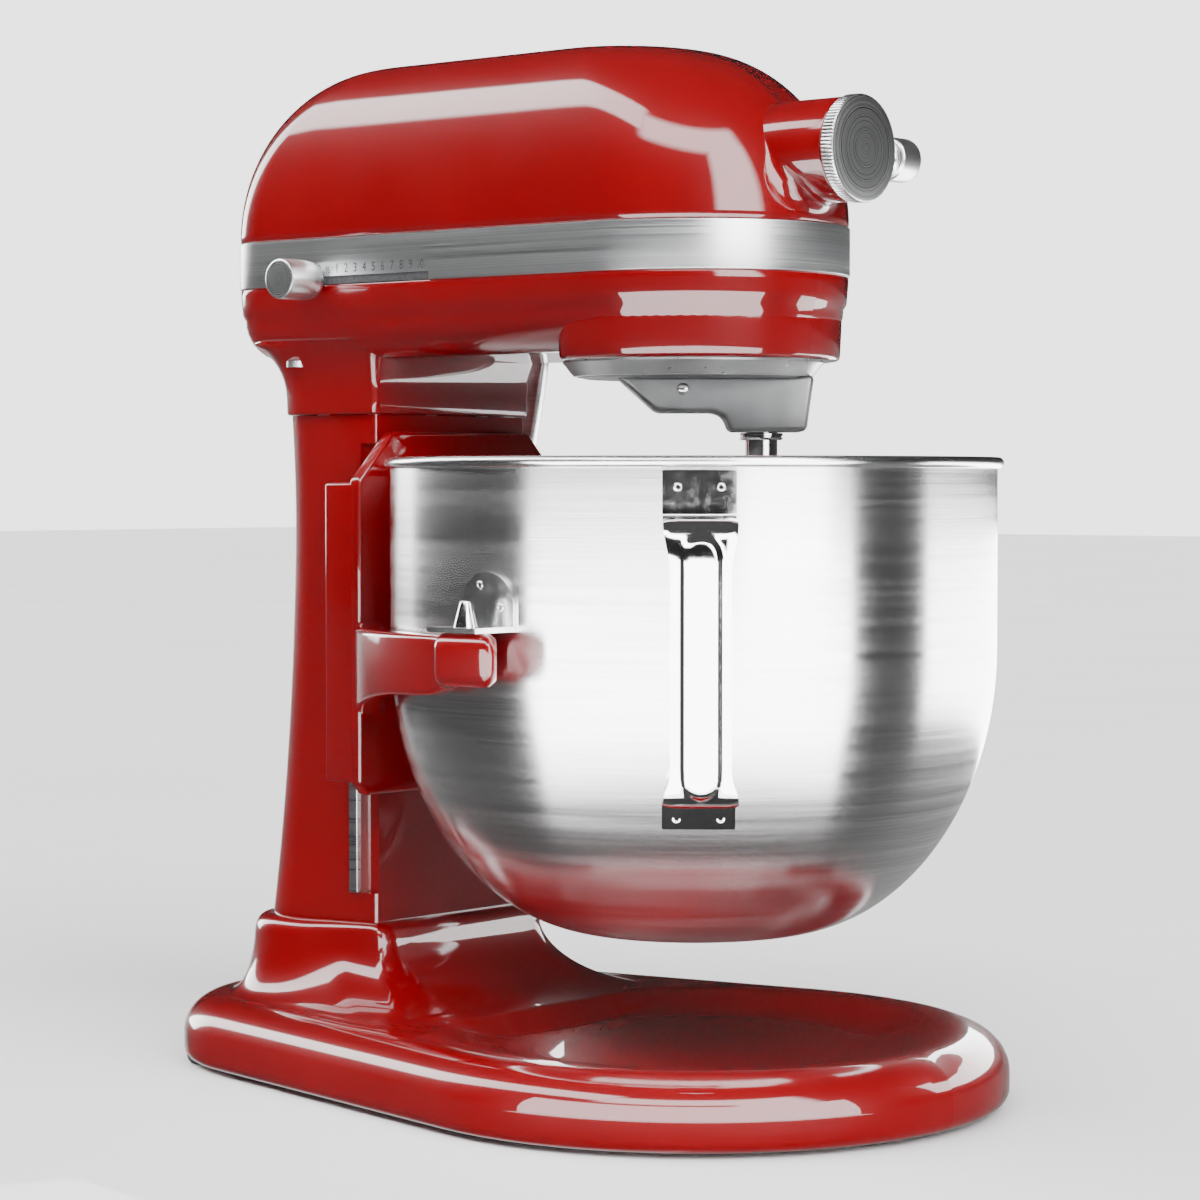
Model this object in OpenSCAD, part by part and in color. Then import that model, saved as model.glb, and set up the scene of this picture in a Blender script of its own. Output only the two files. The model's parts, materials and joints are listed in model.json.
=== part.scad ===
// Bowl-lift stand mixer, in millimetres.
// +Z is up, the front is towards -Y, and the speed knob is on the -X side.
// Every piece is laid out from the bowl's axis, then set_down() moves it so
// that the origin is on the ground, in the middle of the footprint.

/* [Bowl] */
// Outside diameter of the bowl's straight wall
bowl_d = 240; // [200:1:288]
// Height of the bowl from its flat bottom to the top of its rim
bowl_h = 188; // [157:1:226]
// Thickness of the bowl's sheet
bowl_wall = 1.2; // [0.8:0.1:2]
// How far the rolled rim stands out from the wall
rim_out = 2.5; // [1.5:0.1:4]
// Radius of the bowl's flat bottom
bowl_flat_r = 36; // [28:1:50]
// Distance from the rim's top down to the pads that carry the bowl
ear_drop = 65; // [50:1:80]
// Direction of the bowl's handle, turned from the front towards the knob side
handle_turn = 50; // [20:1:70]
// Height of the handle between its two brackets
handle_h = 106; // [88:1:127]
// Width of the handle's grip
handle_w = 22; // [16:1:30]
// Distance from the bowl's wall to the outer face of the handle
handle_out = 31; // [28:1:40]

/* [Base] */
// Radius of the base's round front, about the bowl's axis
base_r = 126; // [105:1:151]
// Height of the base plate's rim at the front
base_h = 30; // [24:1:38]
// Height of the pedestal that the column stands on
pedestal_z = 64; // [54:1:76]
// How far the base runs out behind the column
base_tail = 54; // [45:1:65]
// Half the base's width at its rear corners
base_rear_w = 98; // [82:1:118]
// Radius of a rubber foot
foot_r = 12; // [9:0.5:15]
// Gap between the base's skirt and the ground
foot_gap = 2; // [1:0.5:4]
// Depth of the round dish that the bowl sinks into
dish_deep = 7; // [5:1:9]

/* [Column] */
// Width of the column's front face
column_w = 92; // [78:1:110]
// Depth of the column, front to back
column_deep = 58; // [52:1:68]
// Height of the neck that joins the column to the head
neck_h = 20; // [16:1:26]

/* [Head] */
// Gap between the raised bowl's rim and the head
rim_gap = 38; // [32:1:48]
// Width of the head
head_w = 123; // [118:1:148]
// How far the head reaches behind the column
head_tail = 21; // [16:1:30]
// Height from the head's underside to the crease round it
crease_h = 16; // [14:1:20]
// Height from the head's underside to the trim band
band_rise = 33; // [31:1:38]
// Height of the trim band
band_h = 19; // [16:1:23]
// Height of the top cover
cover_h = 72; // [68:1:86]
// Thickness of the castings' walls
wall = 4; // [3:0.5:5]

/* [Bowl lift] */
// Travel of the bowl between raised and lowered
lift_travel = 42; // [35:1:48]
// Width of the carriage plate
carriage_w = 124; // [112:1:140]
// Length of the lift lever from its pivot to its tip
lever_len = 88; // [74:1:106]
// Turn of the lift lever between raised and lowered
lever_swing = 120; // [100:1:130]
// Radius of the lift lever's pivot shaft
pivot_r = 5; // [4:0.5:6]

/* [Planetary] */
// Teeth of the fixed internal ring gear
ring_teeth = 72; // [68:2:76]
// Teeth of the pinion on the agitator shaft
planet_teeth = 18; // [16:2:20]
// Module of the planetary gears
planet_module = 1; // [0.9:0.05:1.1]
// Radius of the agitator shaft
shaft_r = 6.35; // [5.3:0.05:7.6]
// How far the agitator shaft reaches below the planetary arm
shaft_out = 38; // [32:1:46]
// Direction of the planetary arm at rest, from +X
arm_turn = -49.5; // [-180:0.5:180]

/* [Gear train] */
// Module of the spur gears and the worm gear
gear_module = 1.25; // [1.1:0.05:1.3]
// Teeth of the gear on the centre shaft
centre_teeth = 48; // [44:1:50]
// Teeth of the pinion on the step shaft
step_teeth = 16; // [14:1:18]
// Teeth of the worm wheel
wheel_teeth = 30; // [28:1:32]
// Threads of the worm
worm_starts = 3; // [2:1:3]
// Pitch radius of the worm
worm_r = 9; // [8:0.5:10]
// Teeth of each bevel gear of the attachment drive
bevel_teeth = 15; // [13:1:16]
// Module of the bevel gears at their outer ends
bevel_module = 1.6; // [1.4:0.1:1.7]

/* [Motor] */
// Outside radius of the motor's stator
stator_r = 42; // [36:1:46]
// Length of the motor's iron stack
stack_l = 50; // [42:1:56]
// Radius of the motor's rotor
rotor_r = 24; // [20:1:26]
// Radius of the motor's shaft
motor_shaft_r = 4; // [3.5:0.25:5]

/* [Attachment hub] */
// Outside radius of the hub's barrel
hub_r = 20; // [18:0.5:24]
// Radius of the hub's bore
hub_bore_r = 16; // [14:0.5:17]
// Depth of the hub's open bore
hub_depth = 34; // [28:1:38]
// Distance from the bowl's axis to the hub's front end
hub_front = 77; // [74:1:86]
// Thickness of the hub's cap
cap_t = 7; // [5:0.5:9]
// Radius of the clamp knob's head
clamp_r = 8.7; // [7:0.1:10]

/* [Speed control] */
// Travel of the speed knob from off to full speed
speed_travel = 53; // [44:1:60]
// Radius of the speed knob
knob_r = 8.2; // [7:0.1:9.5]
// Length of the speed knob
knob_l = 20.5; // [17:0.5:24]
// Height of the slot that the speed knob runs in
slot_h = 3.4; // [2.8:0.1:4]

/* [Fits] */
// Radial clearance of a shaft that turns in its bush
run_fit = 0.05; // [0.02:0.01:0.1]
// Gap between pieces that slide past each other
slide_gap = 0.4; // [0.3:0.05:0.8]
// Gap under the bowl when it is lowered
bowl_gap = 3; // [2:0.5:5]
// Play between gear teeth
gear_play = 0.24; // [0.16:0.02:0.3]

/* [Hidden] */
$fn = 72;

eps = 0.01;
bowl_r = bowl_d / 2;
rim_r = bowl_r + rim_out;
rim_h = 4.5;

// Depths, from the bowl's axis towards the back
plate_front = rim_r + 2;
plate_t = 6;
column_front = plate_front + plate_t + slide_gap;
column_back = column_front + column_deep;
base_back = column_back + base_tail;
head_back = column_back + head_tail;
head_front = head_w / 2;

// Heights, up from the base
dish_z = base_h - dish_deep;
bowl_low = dish_z + bowl_gap + lift_travel;
rim_z = bowl_low + bowl_h;
ear_z = rim_z - ear_drop;
head_low = rim_z + rim_gap;
column_top = head_low - neck_h;
crease_z = head_low + crease_h;
band_low = head_low + band_rise;
band_top = band_low + band_h;
head_top = band_top + cover_h;

// Gear train, above the head's deck
deck_low = head_low + 11;
deck_top = deck_low + 11;
spur_z = deck_top + 5;
spur_h = 8;
bridge_z = spur_z + spur_h + 4;
bridge_t = 6;
worm_z = bridge_z + bridge_t + worm_r + 4;
wheel_h = 6;
hub_z = worm_z + 21;
centre_r = 7;
neck_r = 4.5;
step_r = 5;
step_x = worm_r + gear_module * wheel_teeth / 2;
step_gap = gear_module * (centre_teeth + step_teeth) / 2;
step_y = sqrt(step_gap * step_gap - step_x * step_x);
step_turn = atan2(step_y, step_x);
worm_l = 24;
lead = worm_starts * PI * gear_module;
lead_turn = atan(lead / (2 * PI * worm_r));
bevel_r = bevel_module * bevel_teeth / 2;
bevel_l = 5;

// Planetary, turned to its rest direction
arm_r = planet_module * (ring_teeth - planet_teeth) / 2;
ring_r = planet_module * ring_teeth / 2;
ring_out = ring_r + 13;
ring_h = 7;
disc_r = ring_out - 4;
disc_low = head_low - 7;
arm_low = head_low - 20.4;
box_low = head_low - 28;
arm_w = 34;
pinion_z = head_low + 3;

// Motor, along Y behind the gears
bracket_y = 50;
coil_l = 12;
stack_y = bracket_y + 24;
comm_y = stack_y + stack_l + coil_l + 2;
fan_y = comm_y + 20;
tail_y = fan_y + 18;

// Lift
carriage_low = pedestal_z + 12 + lift_travel;
carriage_h = column_top - 7 - carriage_low;
rail_out = 4;
rail_y = column_front + 7;
rail_l = 7;
pivot_y = column_front + 21;
pivot_z = ear_z + 29;
crank_r = lift_travel / (2 * sin(lever_swing / 2));
crank_pin_r = 3;
link_t = 6;
pad_x = bowl_r + 13;
yoke_in = bowl_r + 3;
yoke_out = yoke_in + 11;
pad_t = 20;
lever_x = carriage_w / 2 + 1.5;
lever_lean = 10;

// Speed control, along the knob side
knob_y = column_front + 18;
slot_z = band_low + slot_h / 2;
slider_x = wall + 2.2 - head_w / 2;
slider_t = 2.4;

module set_down() translate([0, (base_r - base_back) / 2, 0]) children();

// A plan section is [front y, front half width, front corner radius,
// back y, back half width, back corner radius].
function corners(s) = [
    [s[1] - s[2], s[0] + s[2], s[2]], [s[4] - s[5], s[3] - s[5], s[5]],
    [s[5] - s[4], s[3] - s[5], s[5]], [s[2] - s[1], s[0] + s[2], s[2]]
];
function reach(c, a) = c[0] * cos(a) + c[1] * sin(a) + c[2];
function furthest(cs, a, i = 0, best = 0) =
    i == len(cs) ? cs[best]
    : furthest(cs, a, i + 1, reach(cs[i], a) > reach(cs[best], a) + eps ? i : best);
function outline(s, n) = [
    for (i = [0 : n - 1])
        let (a = 360 * (i + 0.5) / n, c = furthest(corners(s), a))
        [c[0] + c[2] * cos(a), c[1] + c[2] * sin(a)]
];
function inset(s, t) = [s[0] + t, s[1] - t, max(s[2] - t, 1), s[3] - t, s[4] - t, max(s[5] - t, 1)];
function quarter(h) = 1 - sqrt(max(0, 1 - h * h));

// A closed skin over plan sections at rising heights, [[z, section], ...]
module skin(levels, n = 48) {
    rings = [for (l = levels) [for (p = outline(l[1], n)) [p[0], p[1], l[0]]]];
    last = len(levels) - 1;
    polyhedron(
        points = [for (r = rings) each r],
        faces = concat(
            [[for (i = [0 : n - 1]) i]],
            [for (k = [0 : last - 1]) for (i = [0 : n - 1])
                let (a = k * n + i, b = k * n + (i + 1) % n) [a, a + n, b + n]],
            [for (k = [0 : last - 1]) for (i = [0 : n - 1])
                let (a = k * n + i, b = k * n + (i + 1) % n) [a, b + n, b]],
            [[for (i = [n - 1 : -1 : 0]) last * n + i]]
        )
    );
}

module tube(r_out, r_in, h) {
    difference() {
        cylinder(r = r_out, h = h);
        translate([0, 0, -1]) cylinder(r = r_in, h = h + 2);
    }
}

// Things that lie along +Y from y, on the line (x, z)
module along_y(x, y, z) translate([x, y, z]) rotate([-90, 0, 0]) children();
// Things that lie along +X from x, on the line (y, z)
module along_x(x, y, z) translate([x, y, z]) rotate([0, 90, 0]) children();

// Involute teeth: half the tooth's angle at a radius
function inv(a) = tan(a) * 180 / PI - a;
function half_tooth(r, pitch_r, n, play) =
    90 / n - play / pitch_r * 90 / PI + inv(20) - inv(acos(min(1, pitch_r * cos(20) / r)));
function flank(n, m, play, add, ded, steps) =
    let (
        pitch_r = m * n / 2, tip = pitch_r + add * m, root = pitch_r - ded * m,
        foot = max(root, pitch_r * cos(20)) + eps
    )
    concat(
        root < foot - 2 * eps ? [[root, half_tooth(foot, pitch_r, n, play)]] : [],
        [for (i = [0 : steps])
            let (r = foot + (tip - foot) * i / steps) [r, half_tooth(r, pitch_r, n, play)]]
    );
function polar(r, a) = [r * cos(a), r * sin(a)];
function gear_points(n, m, play, add, ded, steps = 3) =
    let (f = flank(n, m, play, add, ded, steps), last = len(f) - 1)
    [for (t = [0 : n - 1]) let (mid = 360 * t / n)
        each concat(
            [for (i = [0 : last]) polar(f[i][0], mid - f[i][1])],
            [for (i = [last : -1 : 0]) polar(f[i][0], mid + f[i][1])]
        )];
module gear(n, m, h, bore) {
    difference() {
        linear_extrude(height = h) polygon(gear_points(n, m, gear_play, 1, 1.25));
        translate([0, 0, -1]) cylinder(r = bore, h = h + 2);
    }
}

// A bevel gear whose teeth run to an apex at the origin, with its back at -r
module bevel(bore) {
    k = (bevel_r - bevel_l) / bevel_r;
    difference() {
        union() {
            translate([0, 0, -bevel_r])
                linear_extrude(height = bevel_l, scale = k)
                    polygon(gear_points(bevel_teeth, bevel_module, gear_play, 0.8, 1.1, 2));
            translate([0, 0, -bevel_r - 3]) cylinder(r = bevel_r - 2, h = 3 + eps);
        }
        if (bore > 0) translate([0, 0, -bevel_r - 4]) cylinder(r = bore, h = bevel_l + 6);
    }
}

// ---------------------------------------------------------------- base

function base_section(z) =
    let (
        skirt = 6 * quarter(max(0, 1 - z / 8)),
        edge = 14 * quarter(max(0, (z - base_h + 14) / 14))
    )
    inset([-base_r, base_r, base_r, base_back, base_rear_w, 52], skirt + edge);
// The pedestal draws in along an S from the plate to the column's foot
function pedestal_section(t) =
    let (ease = pow(1 - t, 2.2), top = column_w / 2 + 8)
    [column_front - 4 - 60 * ease, top + 36 * ease, 16 + 20 * ease,
     column_back + 8 + 26 * ease, top + 26 * ease, 24 + 12 * ease];
module base() {
    color("#b3000c") difference() {
        union() {
            skin([for (z = [foot_gap, 5, 10, 16, 21, 25, 28, base_h])
                [z == base_h ? base_h : min(z, base_h - 1), base_section(z)]]);
            skin([for (i = [0 : 6]) let (t = i / 6)
                [base_h - 6 + (pedestal_z - base_h + 6) * t, pedestal_section(t)]]);
        }
        // shallow round dish that the bowl sinks into when it is lowered
        translate([0, 0, dish_z]) cylinder(r1 = bowl_flat_r + 30, r2 = base_r - 22, h = base_h + eps - dish_z);
        // hollow underside
        translate([0, 0, -1]) skin([
            [0, inset(base_section(12), 7)], [dish_z - 4, inset(base_section(12), 10)]
        ], 32);
        skin([[1, inset(pedestal_section(0.5), 7)], [pedestal_z - 8, inset(pedestal_section(1), 7)]], 32);
        for (p = post_places()) translate([p[0], p[1], pedestal_z - 10]) cylinder(r = 3.2, h = 12);
    }
    color("#b3000c") for (p = foot_places())
        translate([p[0], p[1], 6]) cylinder(r = foot_r + 2, h = dish_z - 9);
}
function foot_places() = [
    [0, -base_r + 26], [-base_r + 30, 14], [base_r - 30, 14],
    [-base_rear_w + 34, base_back - 34], [base_rear_w - 34, base_back - 34]
];
function post_places() = [
    for (x = [-1, 1]) for (y = [column_front + 13, column_back - 15]) [x * (column_w / 2 - 13), y]
];
module rubber_feet() {
    color("#2b2b2b") for (p = foot_places()) translate([p[0], p[1], 0]) {
        cylinder(r = foot_r, h = 6);
    }
}
module screw(r, l, head) {
    cylinder(r = head, h = r);
    translate([0, 0, r]) cylinder(r = r, h = l);
}
module base_screws() {
    color("#8d9094") for (p = post_places())
        translate([p[0], p[1], pedestal_z - 8 - 3]) screw(3, 17, 5.5);
}

// ---------------------------------------------------------------- column

function column_section(t) = [
    column_front, column_w / 2, 6,
    column_back + 3 * pow(1 - t, 2), column_w / 2 + 2 * pow(1 - t, 2), 20
];
window_low = pivot_z - crank_r - 12;
window_high = pivot_z + crank_r + 12;
module column() {
    color("#b3000c") difference() {
        skin([for (i = [0 : 3]) [pedestal_z + (column_top - pedestal_z) * i / 3, column_section(i / 3)]]);
        skin([[pedestal_z + 10, inset(column_section(0.3), wall)],
              [column_top - flange_t, inset(column_section(1), wall)]], 32);
        rails(eps);
        for (p = post_places())
            translate([p[0], p[1], column_top - flange_t - 1]) cylinder(r = 2.5, h = flange_t + 2);
        // window that the lift link runs through
        translate([-link_t / 2 - 2, column_front - 1, window_low])
            cube([link_t + 4, wall + 2, window_high - window_low]);
        // hole for the lift lever's pivot shaft
        along_x(column_w / 2 - wall - 8, pivot_y, pivot_z) cylinder(r = pivot_r + run_fit, h = wall + 20);
        for (p = post_places())
            translate([p[0], p[1], pedestal_z - 1]) cylinder(r = 3, h = 10);
    }
    // boss that carries the pivot shaft
    color("#b3000c") difference() {
        along_x(column_w / 2 - wall - 6, pivot_y, pivot_z) cylinder(r = pivot_r + 4, h = 7);
        along_x(column_w / 2 - wall - 8, pivot_y, pivot_z) cylinder(r = pivot_r + run_fit, h = 20);
    }
}
flange_t = 6;
rail_low = carriage_low - lift_travel;
rail_high = column_top - 8;
// The two guide rails, seated 2 mm deep in the column's sides
module rails(grow = 0) {
    for (s = [-1, 1])
        translate([s * (column_w / 2 + rail_out / 2 - 1), rail_y + rail_l / 2, (rail_low + rail_high) / 2])
            cube([rail_out + 2, rail_l + grow, rail_high - rail_low + grow], center = true);
}
module column_rails() {
    color("#a9abad") rails();
}
module column_screws() {
    color("#8d9094") for (p = post_places())
        translate([p[0], p[1], column_top - flange_t - 2.5]) screw(2.5, flange_t + 8, 4.5);
}

// ---------------------------------------------------------------- head

function head_section(z) =
    let (
        step = z < crease_z ? 3.5 - 1.5 * (z - head_low) / crease_h : 1.5 * (band_low - z) / (band_low - crease_z),
        back = z < crease_z ? head_back - 8 * pow((crease_z - z) / crease_h, 1.5) : head_back
    )
    [step - head_front, head_front - step, head_front - step, back - step, head_w / 2 - step, 26];
function neck_section(t) = [
    column_front - 1, column_w / 2 + 1, 6,
    column_back + (head_tail - 9) * pow(t, 2), column_w / 2 + 2 + 6 * t * t, 20
];
module head_lower() {
    color("#b3000c") difference() {
        union() {
            skin([for (z = [head_low, head_low + crease_h / 2, crease_z - 0.6, crease_z + 0.6, band_low])
                [z, head_section(z)]]);
            skin([for (i = [0 : 4]) [column_top + (head_low + 2 - column_top) * i / 4, neck_section(i / 4)]], 40);
        }
        // gearcase and motor bay
        difference() {
            skin([[head_low + wall, inset(head_section(crease_z + 1), wall + 2)],
                  [band_low + 1, inset(head_section(band_low), wall)]], 40);
            translate([-head_w, -head_w, head_low]) cube([2 * head_w, head_w + bracket_y + 2, deck_top - head_low]);
        }
        for (p = boss_places()) {
            translate([p[0], p[1], head_low - 1]) cylinder(r = 4.6, h = 3.6);
            translate([p[0], p[1], head_low]) cylinder(r = 2.5, h = wall + 4);
        }
        // threaded holes for the column's screws
        for (p = post_places()) translate([p[0], p[1], column_top - 1]) cylinder(r = 2.5, h = 10);
        // room for the ring gear and the planetary disc
        translate([0, 0, head_low - 1]) cylinder(r = ring_out, h = deck_low - head_low + 1);
        translate([0, 0, deck_low - 1]) cylinder(r = centre_r + 9, h = 30);
        translate([step_x, step_y, deck_low - 1]) cylinder(r = step_r + 3, h = 30);
        vents();
        gland_hole(6);
        translate([0, column_back - 10, gland_z - 3]) cylinder(r = 5, h = 20);
    }
    color("#b3000c") {
        cover_bosses(head_low + wall, band_top);
        // cradle under the motor
        for (y = [stack_y + 6, stack_y + stack_l - 12]) difference() {
            translate([-26, y, head_low + wall - 1]) cube([52, 6, worm_z - head_low - wall - 28]);
            along_y(0, y - 1, worm_z) cylinder(r = stator_r, h = 8);
        }
    }
}
// Screw bosses at the back of the head
boss_r = 5.5;
function boss_places() = [for (s = [-1, 1]) [s * (head_w / 2 - wall - 7), head_back - 38]];
module cover_bosses(low, high) {
    for (p = boss_places()) translate([p[0], p[1], low]) difference() {
        cylinder(r = boss_r, h = high - low);
        translate([0, 0, -1]) cylinder(r = 2.5, h = high - low + 2);
    }
}
module vents() {
    for (i = [-3 : 3]) translate([i * 9 - 2, head_back - 12, crease_z + 4]) cube([4, 20, 9]);
}
gland_z = head_low - 4;
module gland_hole(r) along_y(0, column_back - 6, gland_z) cylinder(r = r, h = 30);

module trim_band() {
    color("#c3c5c7") difference() {
        skin([for (z = [band_low, band_top]) [z, inset(head_section(band_low), -0.3)]], 72);
        translate([0, 0, -1]) skin([for (z = [band_low, band_top + 2]) [z, inset(head_section(band_low), 3)]], 72);
        translate([-head_w / 2 - 5, knob_y - speed_travel - 5, band_low - 1])
            cube([12, speed_travel + 10, slot_h + 1]);
    }
}

cover_out = hub_z + 2;
function cover_section(z) =
    let (
        top = quarter((z - band_top) / cover_h),
        side = quarter(max(0, z - band_top - 4) / (cover_h - 4)),
        w = head_w / 2 - 34 * side
    )
    [-head_front + 74 * top, w, w, head_back - 56 * top, w, 26];
cover_levels = [for (t = [0, 0.2, 0.4, 0.56, 0.7, 0.81, 0.9, 0.96, 0.99, 1]) band_top + cover_h * t];
module head_cover() {
    color("#b3000c") difference() {
        union() {
            skin([for (z = cover_levels) [z, cover_section(z)]]);
            along_y(0, -hub_front, hub_z) cylinder(r = hub_r, h = hub_front - 12);
        }
        difference() {
            skin([for (z = cover_levels) [z < band_top + 1 ? band_top - 1 : z - wall, inset(cover_section(z), wall)]], 40);
            along_y(0, -hub_front, hub_z) cylinder(r = hub_r, h = hub_front - 24);
        }
        along_y(0, -hub_front - 1, hub_z) cylinder(r = hub_bore_r, h = hub_depth + 1);
        along_y(0, -hub_front - 1, hub_z) cylinder(r = hub_bore_r + 0.8, h = plug_l + 2);
        along_y(0, -hub_front - 1, hub_z) cylinder(r = hub_r - 6, h = hub_front);
        along_x(8, clamp_y, hub_z) cylinder(r = 4 + run_fit, h = hub_r);
    }
    color("#b3000c") cover_bosses(band_top, band_top + 14);
}
clamp_y = -hub_front + 13;
plug_l = 6;

module vent_plate() {
    color("#3a3a3c") difference() {
        translate([-33, head_back - wall - 4, crease_z + 2]) cube([66, 2, 13]);
        for (i = [-7 : 7]) translate([i * 4.2 - 1, head_back - wall - 5, crease_z + 4]) cube([2, 5, 9]);
    }
}
module cover_screws() {
    color("#8d9094") for (p = boss_places())
        translate([p[0], p[1], head_low + 0.1]) screw(2.5, band_top - head_low + 8, 4.4);
}
module cable_gland() {
    color("#303032") {
        along_y(0, column_back - 5, gland_z) tube(6, 3.5, 22);
        along_y(0, column_back + 14, gland_z) tube(8.5, 3.5, 5);
    }
}

// ---------------------------------------------------------------- planetary

// Puts a piece in the planetary arm's own direction
module arm_frame() rotate([0, 0, arm_turn]) children();
module on_arm() arm_frame() translate([arm_r, 0, 0]) children();

module drip_ring() {
    color("#9b9ea1") difference() {
        translate([0, 0, head_low - 6]) cylinder(r1 = ring_out - 1, r2 = ring_out + 3, h = 6 - eps);
        translate([0, 0, head_low - 7]) cylinder(r = disc_r + 1, h = 9);
    }
}
module ring_gear() {
    color("#7c7f83") difference() {
        translate([0, 0, deck_low - ring_h]) cylinder(r = ring_out - 0.1, h = ring_h - eps);
        arm_frame() translate([0, 0, deck_low - ring_h - 1])
            linear_extrude(height = ring_h + 2)
                polygon(gear_points(ring_teeth, planet_module, -gear_play, 1.25, 1, 2));
    }
}
module planetary_housing() {
    arm_end = arm_r + 20;
    color("#8f9295") difference() {
        union() {
            translate([0, 0, disc_low]) cylinder(r = disc_r, h = 8);
            arm_frame() translate([0, arm_w / 2, 0]) rotate([90, 0, 0])
                linear_extrude(height = arm_w)
                    polygon([
                        [-arm_r - 4, disc_low + 1], [-arm_r + 12, arm_low], [arm_r - 19, arm_low],
                        [arm_r - 13, box_low], [arm_end - 3, box_low], [arm_end, disc_low + 1]
                    ]);
        }
        translate([0, 0, arm_low + 3]) cylinder(r = centre_r, h = 40);
        on_arm() translate([0, 0, box_low - 1]) cylinder(r = shaft_r + 2.5, h = 50);
        pin_hole(2, arm_w);
    }
}
// The cotter pin crosses the side of the centre shaft
pin_u = 2.6 - centre_r;
pin_z = arm_low + 9;
module pin_hole(r, l) arm_frame() translate([pin_u, l / 2 + 1, pin_z]) rotate([90, 0, 0]) cylinder(r = r, h = l + 2);
module planetary_pin() {
    color("#c9cbcd") arm_frame() translate([pin_u, arm_w / 2, pin_z]) rotate([90, 0, 0]) cylinder(r = 2, h = arm_w);
}
module centre_shaft() {
    shoulder = hub_z - bevel_r - 3 - eps;
    color("#b9bbbe") difference() {
        union() {
            translate([0, 0, arm_low + 3]) cylinder(r = centre_r, h = shoulder - arm_low - 3);
            translate([0, 0, shoulder - 1]) cylinder(r = neck_r, h = bevel_l + 4);
        }
        pin_hole(2, arm_w);
    }
}
module centre_gear() {
    color("#8a7440") rotate([0, 0, step_turn]) translate([0, 0, spur_z])
        gear(centre_teeth, gear_module, spur_h, centre_r);
}
module drive_bevel() {
    color("#77797c") translate([0, 0, hub_z]) rotate([0, 0, -90]) bevel(neck_r);
}
module agitator_shaft() {
    color("#d2d3d5") on_arm() difference() {
        translate([0, 0, shaft_low]) cylinder(r = shaft_r, h = pinion_z + 7 - shaft_low);
        cross_hole();
        // relief round the cross pin, which leaves a plain spigot below it
        translate([0, 0, shaft_low + spigot_l]) tube(shaft_r + 2, shaft_r - 0.4, 2 * (cross_z - shaft_low - spigot_l));
    }
}
shaft_low = box_low - shaft_out;
spigot_l = 10;
cross_z = shaft_low + spigot_l + 3;
module cross_hole() translate([-15, 0, cross_z]) rotate([0, 90, 0]) cylinder(r = 2.2, h = 30);
module shaft_pin() {
    color("#d2d3d5") on_arm() translate([-shaft_r - 4, 0, cross_z]) rotate([0, 90, 0])
        cylinder(r = 2.2, h = 2 * shaft_r + 8);
}
module shaft_ring() {
    color("#b9bbbe") on_arm() translate([0, 0, box_low - slide_gap - 2.8]) tube(shaft_r + 2.2, shaft_r, 2.8);
}
module agitator_bush() {
    color("#a8824a") on_arm() translate([0, 0, box_low + 0.5])
        tube(shaft_r + 2.5, shaft_r + run_fit, disc_low + 8 - box_low - 1);
}
module agitator_pinion() {
    color("#8a7440") on_arm() translate([0, 0, pinion_z + 1.5])
        gear(planet_teeth, planet_module, 5, shaft_r);
}
module lower_bearing() {
    color("#b9bbbe") translate([0, 0, deck_low + 0.5]) tube(centre_r + 9, centre_r + run_fit, 10);
}

// ---------------------------------------------------------------- gear train

module step_line() translate([step_x, step_y, 0]) children();
module gear_bridge() {
    post = 5;
    color("#a9abad") difference() {
        union() {
            translate([-36, -16, bridge_z]) cube([72, 34, bridge_t]);
            step_line() translate([0, 0, bridge_z]) cylinder(r = step_r + 8, h = bridge_t);
            for (x = [-40, 40]) translate([x, 0, deck_top]) cylinder(r = post, h = bridge_z + bridge_t - deck_top);
        }
        translate([0, 0, bridge_z - 1]) cylinder(r = centre_r + 5, h = bridge_t + 2);
        step_line() translate([0, 0, bridge_z - 1]) cylinder(r = step_r + 3, h = bridge_t + 2);
        for (x = [-40, 40]) translate([x, 0, bridge_z]) cylinder(r = 2, h = bridge_t + 1);
    }
}
module upper_bearing() {
    color("#b9bbbe") translate([0, 0, bridge_z]) tube(centre_r + 5, centre_r + run_fit, bridge_t);
}
module step_bushes() {
    color("#a8824a") step_line() for (z = [deck_low + 0.5, bridge_z])
        translate([0, 0, z]) tube(step_r + 3, step_r + run_fit, z < bridge_z ? 10 : bridge_t);
}
module step_shaft() {
    color("#b9bbbe") step_line() translate([0, 0, deck_low + 1]) cylinder(r = step_r, h = worm_z + 7 - deck_low);
}
module step_pinion() {
    color("#77797c") step_line() rotate([0, 0, step_turn + 180 + 180 / step_teeth])
        translate([0, 0, spur_z]) gear(step_teeth, gear_module, spur_h, step_r);
}
module worm_wheel() {
    slant = wheel_h * tan(lead_turn) / (gear_module * wheel_teeth / 2) * 180 / PI;
    color("#8a7440") step_line() translate([0, 0, worm_z - wheel_h / 2]) difference() {
        rotate([0, 0, 180 + 180 / wheel_teeth + slant / 2])
            linear_extrude(height = wheel_h, twist = slant, slices = 1)
                polygon(gear_points(wheel_teeth, gear_module, gear_play, 0.9, 1.2, 2));
        translate([0, 0, -1]) cylinder(r = step_r, h = wheel_h + 2);
    }
}
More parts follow.
